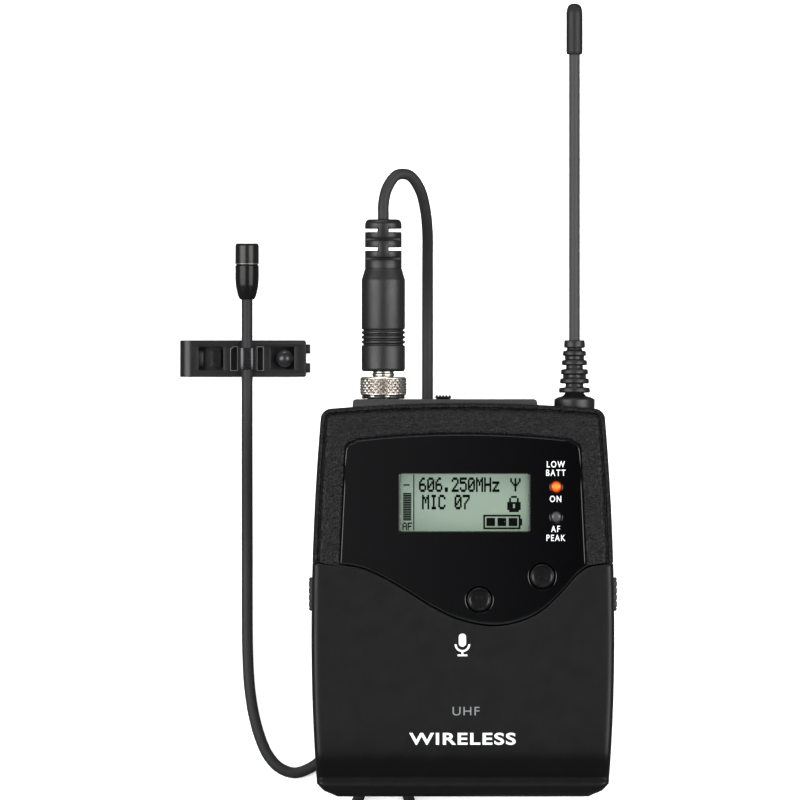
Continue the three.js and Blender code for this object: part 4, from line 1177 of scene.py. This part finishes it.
# ---- microphone and tie clip ----------------------------------------------------------------------
def make_microphone():
    body = [(0, 20.76), (1.3, 20.76), (1.6, 20.95), (1.85, 21.5), (2.12, 22.5), (2.35, 23.7), (2.44, 25.2),
            (2.44, 27.8), (2.26, 27.9), (2.26, 28.2), (1.9, 28.2), (1.9, 24.8), (0, 24.8)]
    place("mic_body_turned", lathe(rounded(body, 0.3, 4), MIC_X, MIC_Z, 72), "mic_black", "pack",
          "mic_body", SET, sharp=50)
    profile = [(1.9, 28.1), (2.36, 28.1), (2.44, 28.2), (2.44, 31.95), (2.3, 32.3), (2.1, 32.43),
               (0, 32.43), (0, 31.9), (1.9, 31.9), (1.9, 28.1)]
    cap = lathe(rounded(profile, 0.06), MIC_X, MIC_Z, 72)
    drills = [rod(0.25, 31, 33, MIC_X + x, MIC_Z + z, 16) for x, z in [(0, 0), *circle(0, 0, 1.1, 6)]]
    place("mic_cap_turned", carved(cap, *drills), "mic_metal", "pack", "mic_cap", SET)
    # A light grey ring where cap and body meet: a metal joint ring, lightened into a painted highlight.
    ring = [(2.2, 28.1), (2.46, 28.1), (2.46, 28.3), (2.2, 28.3), (2.2, 28.1)]
    mesh = lathe(rounded(ring, 0.04), MIC_X, MIC_Z, 72)
    place("mic_joint_ring", mesh, "edge", "pack", origin=SET)
    parts = [("mic_bush", 1.6, 25.1, 26.4, "rubber", "rubber_black"),
             ("mic_element", 1.55, 26.7, 30.6, "steel", "steel"),
             ("mic_grille", 1.6, 31.1, 31.5, "steel", "steel")]
    for node, r, y0, y1, look, slot in parts:
        place(f"{node}_disc", rod(r, y0, y1, MIC_X, MIC_Z, 40, 0.08), look, "pack", node, SET)


CLIP_LEFT, CLIP_RIGHT = -45.3, -19.14
CLIP_TOP, SHEET = 4.8, 0.6
CLIP_HINGE = Vector((-42.9, 0, 2.4))


def make_clip_plate():
    """A folded sheet with four windows, curled over the hinge at its left end."""
    y0, y1 = CLIP_Y - 3.81, CLIP_Y + 3.81
    curl = CLIP_HINGE.x - CLIP_LEFT - SHEET / 2
    curled = curl * math.radians(118)
    outline = rectangle(CLIP_HINGE.x - curled, CLIP_RIGHT, y0, y1, 0.5)
    bottom, top = CLIP_Y - 2.4, CLIP_Y + 2.4
    left_slot = [(-34.75, bottom), (-33.45, bottom), (-33.45, top), (-34.2, top), (-34.75, top - 0.55)]
    right_slot = rectangle(-29.25, -28.1, bottom, top, 0.15)
    holes = [rectangle(-41.5, -36.3, CLIP_Y - 2.45, CLIP_Y + 2.45, 0.25), left_slot, right_slot,
             rectangle(-26.5, -21.6, CLIP_Y - 2.3, top, 0.25)]
    mesh = plate([outline, *holes], CLIP_TOP - SHEET, CLIP_TOP, 0.09)
    with editing(mesh) as work:
        for k in range(1, 26):
            cut = (CLIP_HINGE.x - curled * k / 26 + 0.2, 0, 0)
            parts = [*work.verts, *work.edges, *work.faces]
            bmesh.ops.bisect_plane(work, geom=parts, plane_co=cut, plane_no=(1, 0, 0))

    def bend(p):
        over = CLIP_HINGE.x - p.x
        if over <= 0:
            return p.copy()
        angle, r = over / curl, p.z - CLIP_HINGE.z
        return Vector((CLIP_HINGE.x - r * math.sin(angle), p.y, CLIP_HINGE.z + r * math.cos(angle)))

    # Light grey rims round the two slots: a painted highlight on the slot edges of the black plate.
    rims = []
    for slot_line in (left_slot, right_slot):
        middle = sum(x for x, _ in slot_line) / len(slot_line)
        grown = [(x + math.copysign(0.15, x - middle), y + math.copysign(0.15, y - CLIP_Y))
                 for x, y in slot_line]
        rims.append(plate([grown, slot_line], CLIP_TOP - 0.1, CLIP_TOP + 0.07, 0.03))
    place("clip_slot_rims", joined(*rims), "edge", "tie_clip", origin=SET)
    ears = []
    for low_y, high_y in ((y0, y0 + 0.8), (y1 - 0.8, y1)):
        ears.append(rod(1.2, low_y, high_y, CLIP_HINGE.x, CLIP_HINGE.z, 40))
        ears.append(box_mesh(CLIP_HINGE.x - 1, CLIP_HINGE.x + 1, low_y, high_y, CLIP_HINGE.z,
                             CLIP_TOP - SHEET + 0.1))
    place("clip_plate_sheet", joined(mapped(mesh, bend), *ears), "black_metal", "tie_clip",
          "clip_plate", SET)


def make_clip_band():
    """The band that holds the cable: a squarish hoop through the plate's two slots."""
    length, outer_r, inner_r, squareness = 4.5, 1.68, 1.3, 0.55
    round_box = [(math.copysign(abs(x) ** squareness, x), abs(y) ** squareness)
                 for x, y in arc(0, 0, 1, 0, TURN / 2, 41)]
    outside = [(outer_r * x, outer_r * y) for x, y in round_box]
    inside = [(inner_r * x, inner_r * y) for x, y in reversed(round_box)]
    outside += [(-outer_r, -2.95), (outer_r, -2.95)]
    inside += [(inner_r, -2.6), (-inner_r, -2.6)]
    arch = plate([outside, inside], -length / 2, length / 2, 0.07)
    mapped(arch, lambda p: Vector((MIC_X + p.x, CLIP_Y + p.z, MIC_Z + p.y)))
    place("clip_cable_band_arch", arch, "band", "tie_clip", "clip_cable_band", SET)


def make_clip_hinge():
    pin = rod(0.5, CLIP_Y - 3.7, CLIP_Y + 3.7, CLIP_HINGE.x, CLIP_HINGE.z, 24, 0.1)
    place("clip_hinge_pin_rod", pin, "steel", "tie_clip", "clip_hinge_pin", SET)
    turns, r = 2.5, 0.95
    round_pin = arc(CLIP_HINGE.x, CLIP_HINGE.z, r, 0, TURN * turns, 60)
    path = [(x, y, z) for (x, z), y in zip(round_pin, np.linspace(6.0, 6.4, 60))]
    place("clip_spring_coil", welded(evaluated(tube("wire", path, 0.16, 2))), "steel", "tie_clip",
          "clip_spring", SET)


def make_clip_jaw():
    """The lower jaw: a leaf with a toothed tongue and a domed stop, and two prongs at its end."""
    leaf = plate([rectangle(-42.2, -20.5, CLIP_Y - 3.3, CLIP_Y + 3.4, 0.5)], 0, SHEET, 0.1)
    prongs = [bevelled(box_mesh(-21, -18.3, a, b, 0, 2.6), 0.15) for a, b in ((9.6, 11.5), (5.65, 7.6))]
    arm = bevelled(box_mesh(-43.4, -40.5, CLIP_Y - 1.6, CLIP_Y + 1.6, 0, 1.82), 0.12)
    knuckle = lathe([(0.65, CLIP_Y - 1.6), (1.3, CLIP_Y - 1.6), (1.3, CLIP_Y + 1.6), (0.65, CLIP_Y + 1.6),
                     (0.65, CLIP_Y - 1.6)], CLIP_HINGE.x, CLIP_HINGE.z, 40)
    place("clip_jaw_leaf", joined(leaf, arm, knuckle, *prongs), "black_metal", "tie_clip_jaw",
          "clip_jaw", SET)
    teeth = [(-39.1 if k % 2 else -38.5, CLIP_Y - 1.8 + 0.45 * k) for k in range(9)]
    tongue = plate([[(-36.8, CLIP_Y + 1.8), *reversed(teeth), (-36.8, CLIP_Y - 1.8)]], 0.6, 3.7, 0.1)
    bars = [box_mesh(-38.2, -36.9, CLIP_Y + y, CLIP_Y + y + 0.32, 3.5, 3.85)
            for y in (-1.3, -0.4, 0.5, 1.3)]
    place("clip_teeth_tongue", joined(tongue, *bars), "tongue", "tie_clip_jaw",
          "clip_teeth", SET)
    crown = [(1.8 * x, 2.3 + 1.4 * y) for x, y in arc(0, 0, 1, 0.1, TURN / 4, 12)]
    dome = [(0, 0.6), (1.8, 0.6), (1.8, 2.3), *crown]
    place("clip_dome_stop", upright(lathe(dome, 0, 0, 48), -23.6, CLIP_Y), "dome", "tie_clip_jaw",
          "clip_dome", SET)


# ---- back of the pack and inside ------------------------------------------------------------------
def make_back():
    x0, x1 = low("cover_hinge_pin", 0) - PACK.x, high("cover_hinge_pin", 0) - PACK.x
    pin = along_x(rod(0.8, x0, x1, 0, 0, 24, 0.15), HINGE_Y, HINGE_Z)
    place("cover_hinge_pin_rod", pin, "steel", "pack", "cover_hinge_pin")
    # The belt clip's right half, from its hinge down to the middle of its lower bar.
    half, hinge_y, hinge_z, low_z, end, corner = 20, -21.5, -2.6, -7.9, -68, 6
    right = [(26.2, hinge_y, hinge_z), (23.6, hinge_y, hinge_z), (21.3, hinge_y, hinge_z),
             (half, hinge_y - 1.4, hinge_z - 0.5), (half, hinge_y - 4.6, -5.2), (half, hinge_y - 7.6, -7.2),
             (half, hinge_y - 11, low_z), (half, -48, low_z), (half, end + corner, low_z),
             (half - corner * 0.3, end + corner * 0.3, low_z), (half - corner, end, low_z), (4, end, low_z)]
    path = smooth_path([*right, *[(-x, y, z) for x, y, z in reversed(right)]], 0.8)
    place("belt_clip_wire", welded(evaluated(tube("wire", path, 1.1, 6))), "black_metal", "belt_clip",
          "belt_clip")


# CAD parts that keep their shape, with the look, the slot and the width of their rounded edges.
REFINED = [
    ("rear_housing", "shell", "shell_plastic", 0.2), ("battery_tray", "shell", "shell_plastic", 0.15),
    ("shield_can", "steel", "steel", 0.08), ("main_board", "board", "board_green", 0.05),
    ("lcd_frame", "key", "key_plastic", 0.08), ("mute_switch", "steel", "steel", 0.1),
    ("button_mat", "rubber", "rubber_black", 0.1), ("battery_contact_left", "nickel", "nickel", 0.05),
    ("battery_contact_right", "nickel", "nickel", 0.05),
    *[(f"case_screw_{k}", "steel", "steel", 0.12) for k in range(1, 5)],
]


def make_inside():
    for node, look, slot, width in REFINED:
        refined(node, look, width)
    socket = [(1.95, -18), (4.28, -18), (4.28, 0.07), (4.1, 0.17), (3.5, 0.17), (3.5, -3.4), (1.95, -3.4),
              (1.95, -18)]
    mesh = lathe(rounded(socket, 0.08), PLUG_X, SOCKET_Z, 72)
    place("jack_socket_turned", mesh, "black_metal", "pack", "jack_socket")
    for name in ("power_button", "set_button"):
        x, y = centre(name, 0) - PACK.x, centre(name, 1) - PACK.y
        profile = [(0, 18.2), (2.8, 18.2), (2.8, 18.8), (2.1, 18.8), (2.1, 21.1), (1.5, 21.3), (0, 21.3)]
        cap = upright(lathe(rounded(profile), 0, 0, 48), x, y)
        place(f"{name}_cap", cap, "key", name, name)
    for node, toward in (("battery_upper", 1), ("battery_lower", -1)):
        y, z = centre(node, 1) - PACK.y, centre(node, 2) - PACK.z
        r, half, skin = 7.25, 25.25, 0.03
        can = [(0, -half), (6.6, -half), (r, -half + 0.5), (r, half - 1.5), (6.3, half - 1),
               (2.7, half - 1), (2.7, half), (0, half)]
        wrap = [(r + skin, -half + 1.2), (r + skin, half - 17), (r, half - 17), (r, -half + 1.2),
                (r + skin, -half + 1.2)]
        parts = (("can", rounded(can, 0.25, 4), "battery", node), ("wrap", wrap, "battery_wrap", ()))
        for suffix, profile, look, replaced in parts:
            mesh = welded(along_x(lathe(profile, 0, 0, 72), y, z, toward))
            place(f"{node}_{suffix}", mesh, look, "pack", replaced)


# ---- assembly -------------------------------------------------------------------------------------
make_camera()
make_stage()
cable = make_cable()
tie = make_tie()
make_front_housing()
make_panel()
make_display()
make_leds()
make_front_key("down_button", DOWN, -1)
make_front_key("up_button", UP, 1)
make_print()
make_battery_cover()
make_catches()
make_top_plate()
make_mute_slider()
make_antenna()
make_nut()
make_plug()
make_microphone()
make_clip_plate()
make_clip_band()
make_clip_hinge()
make_clip_jaw()
make_back()
make_inside()
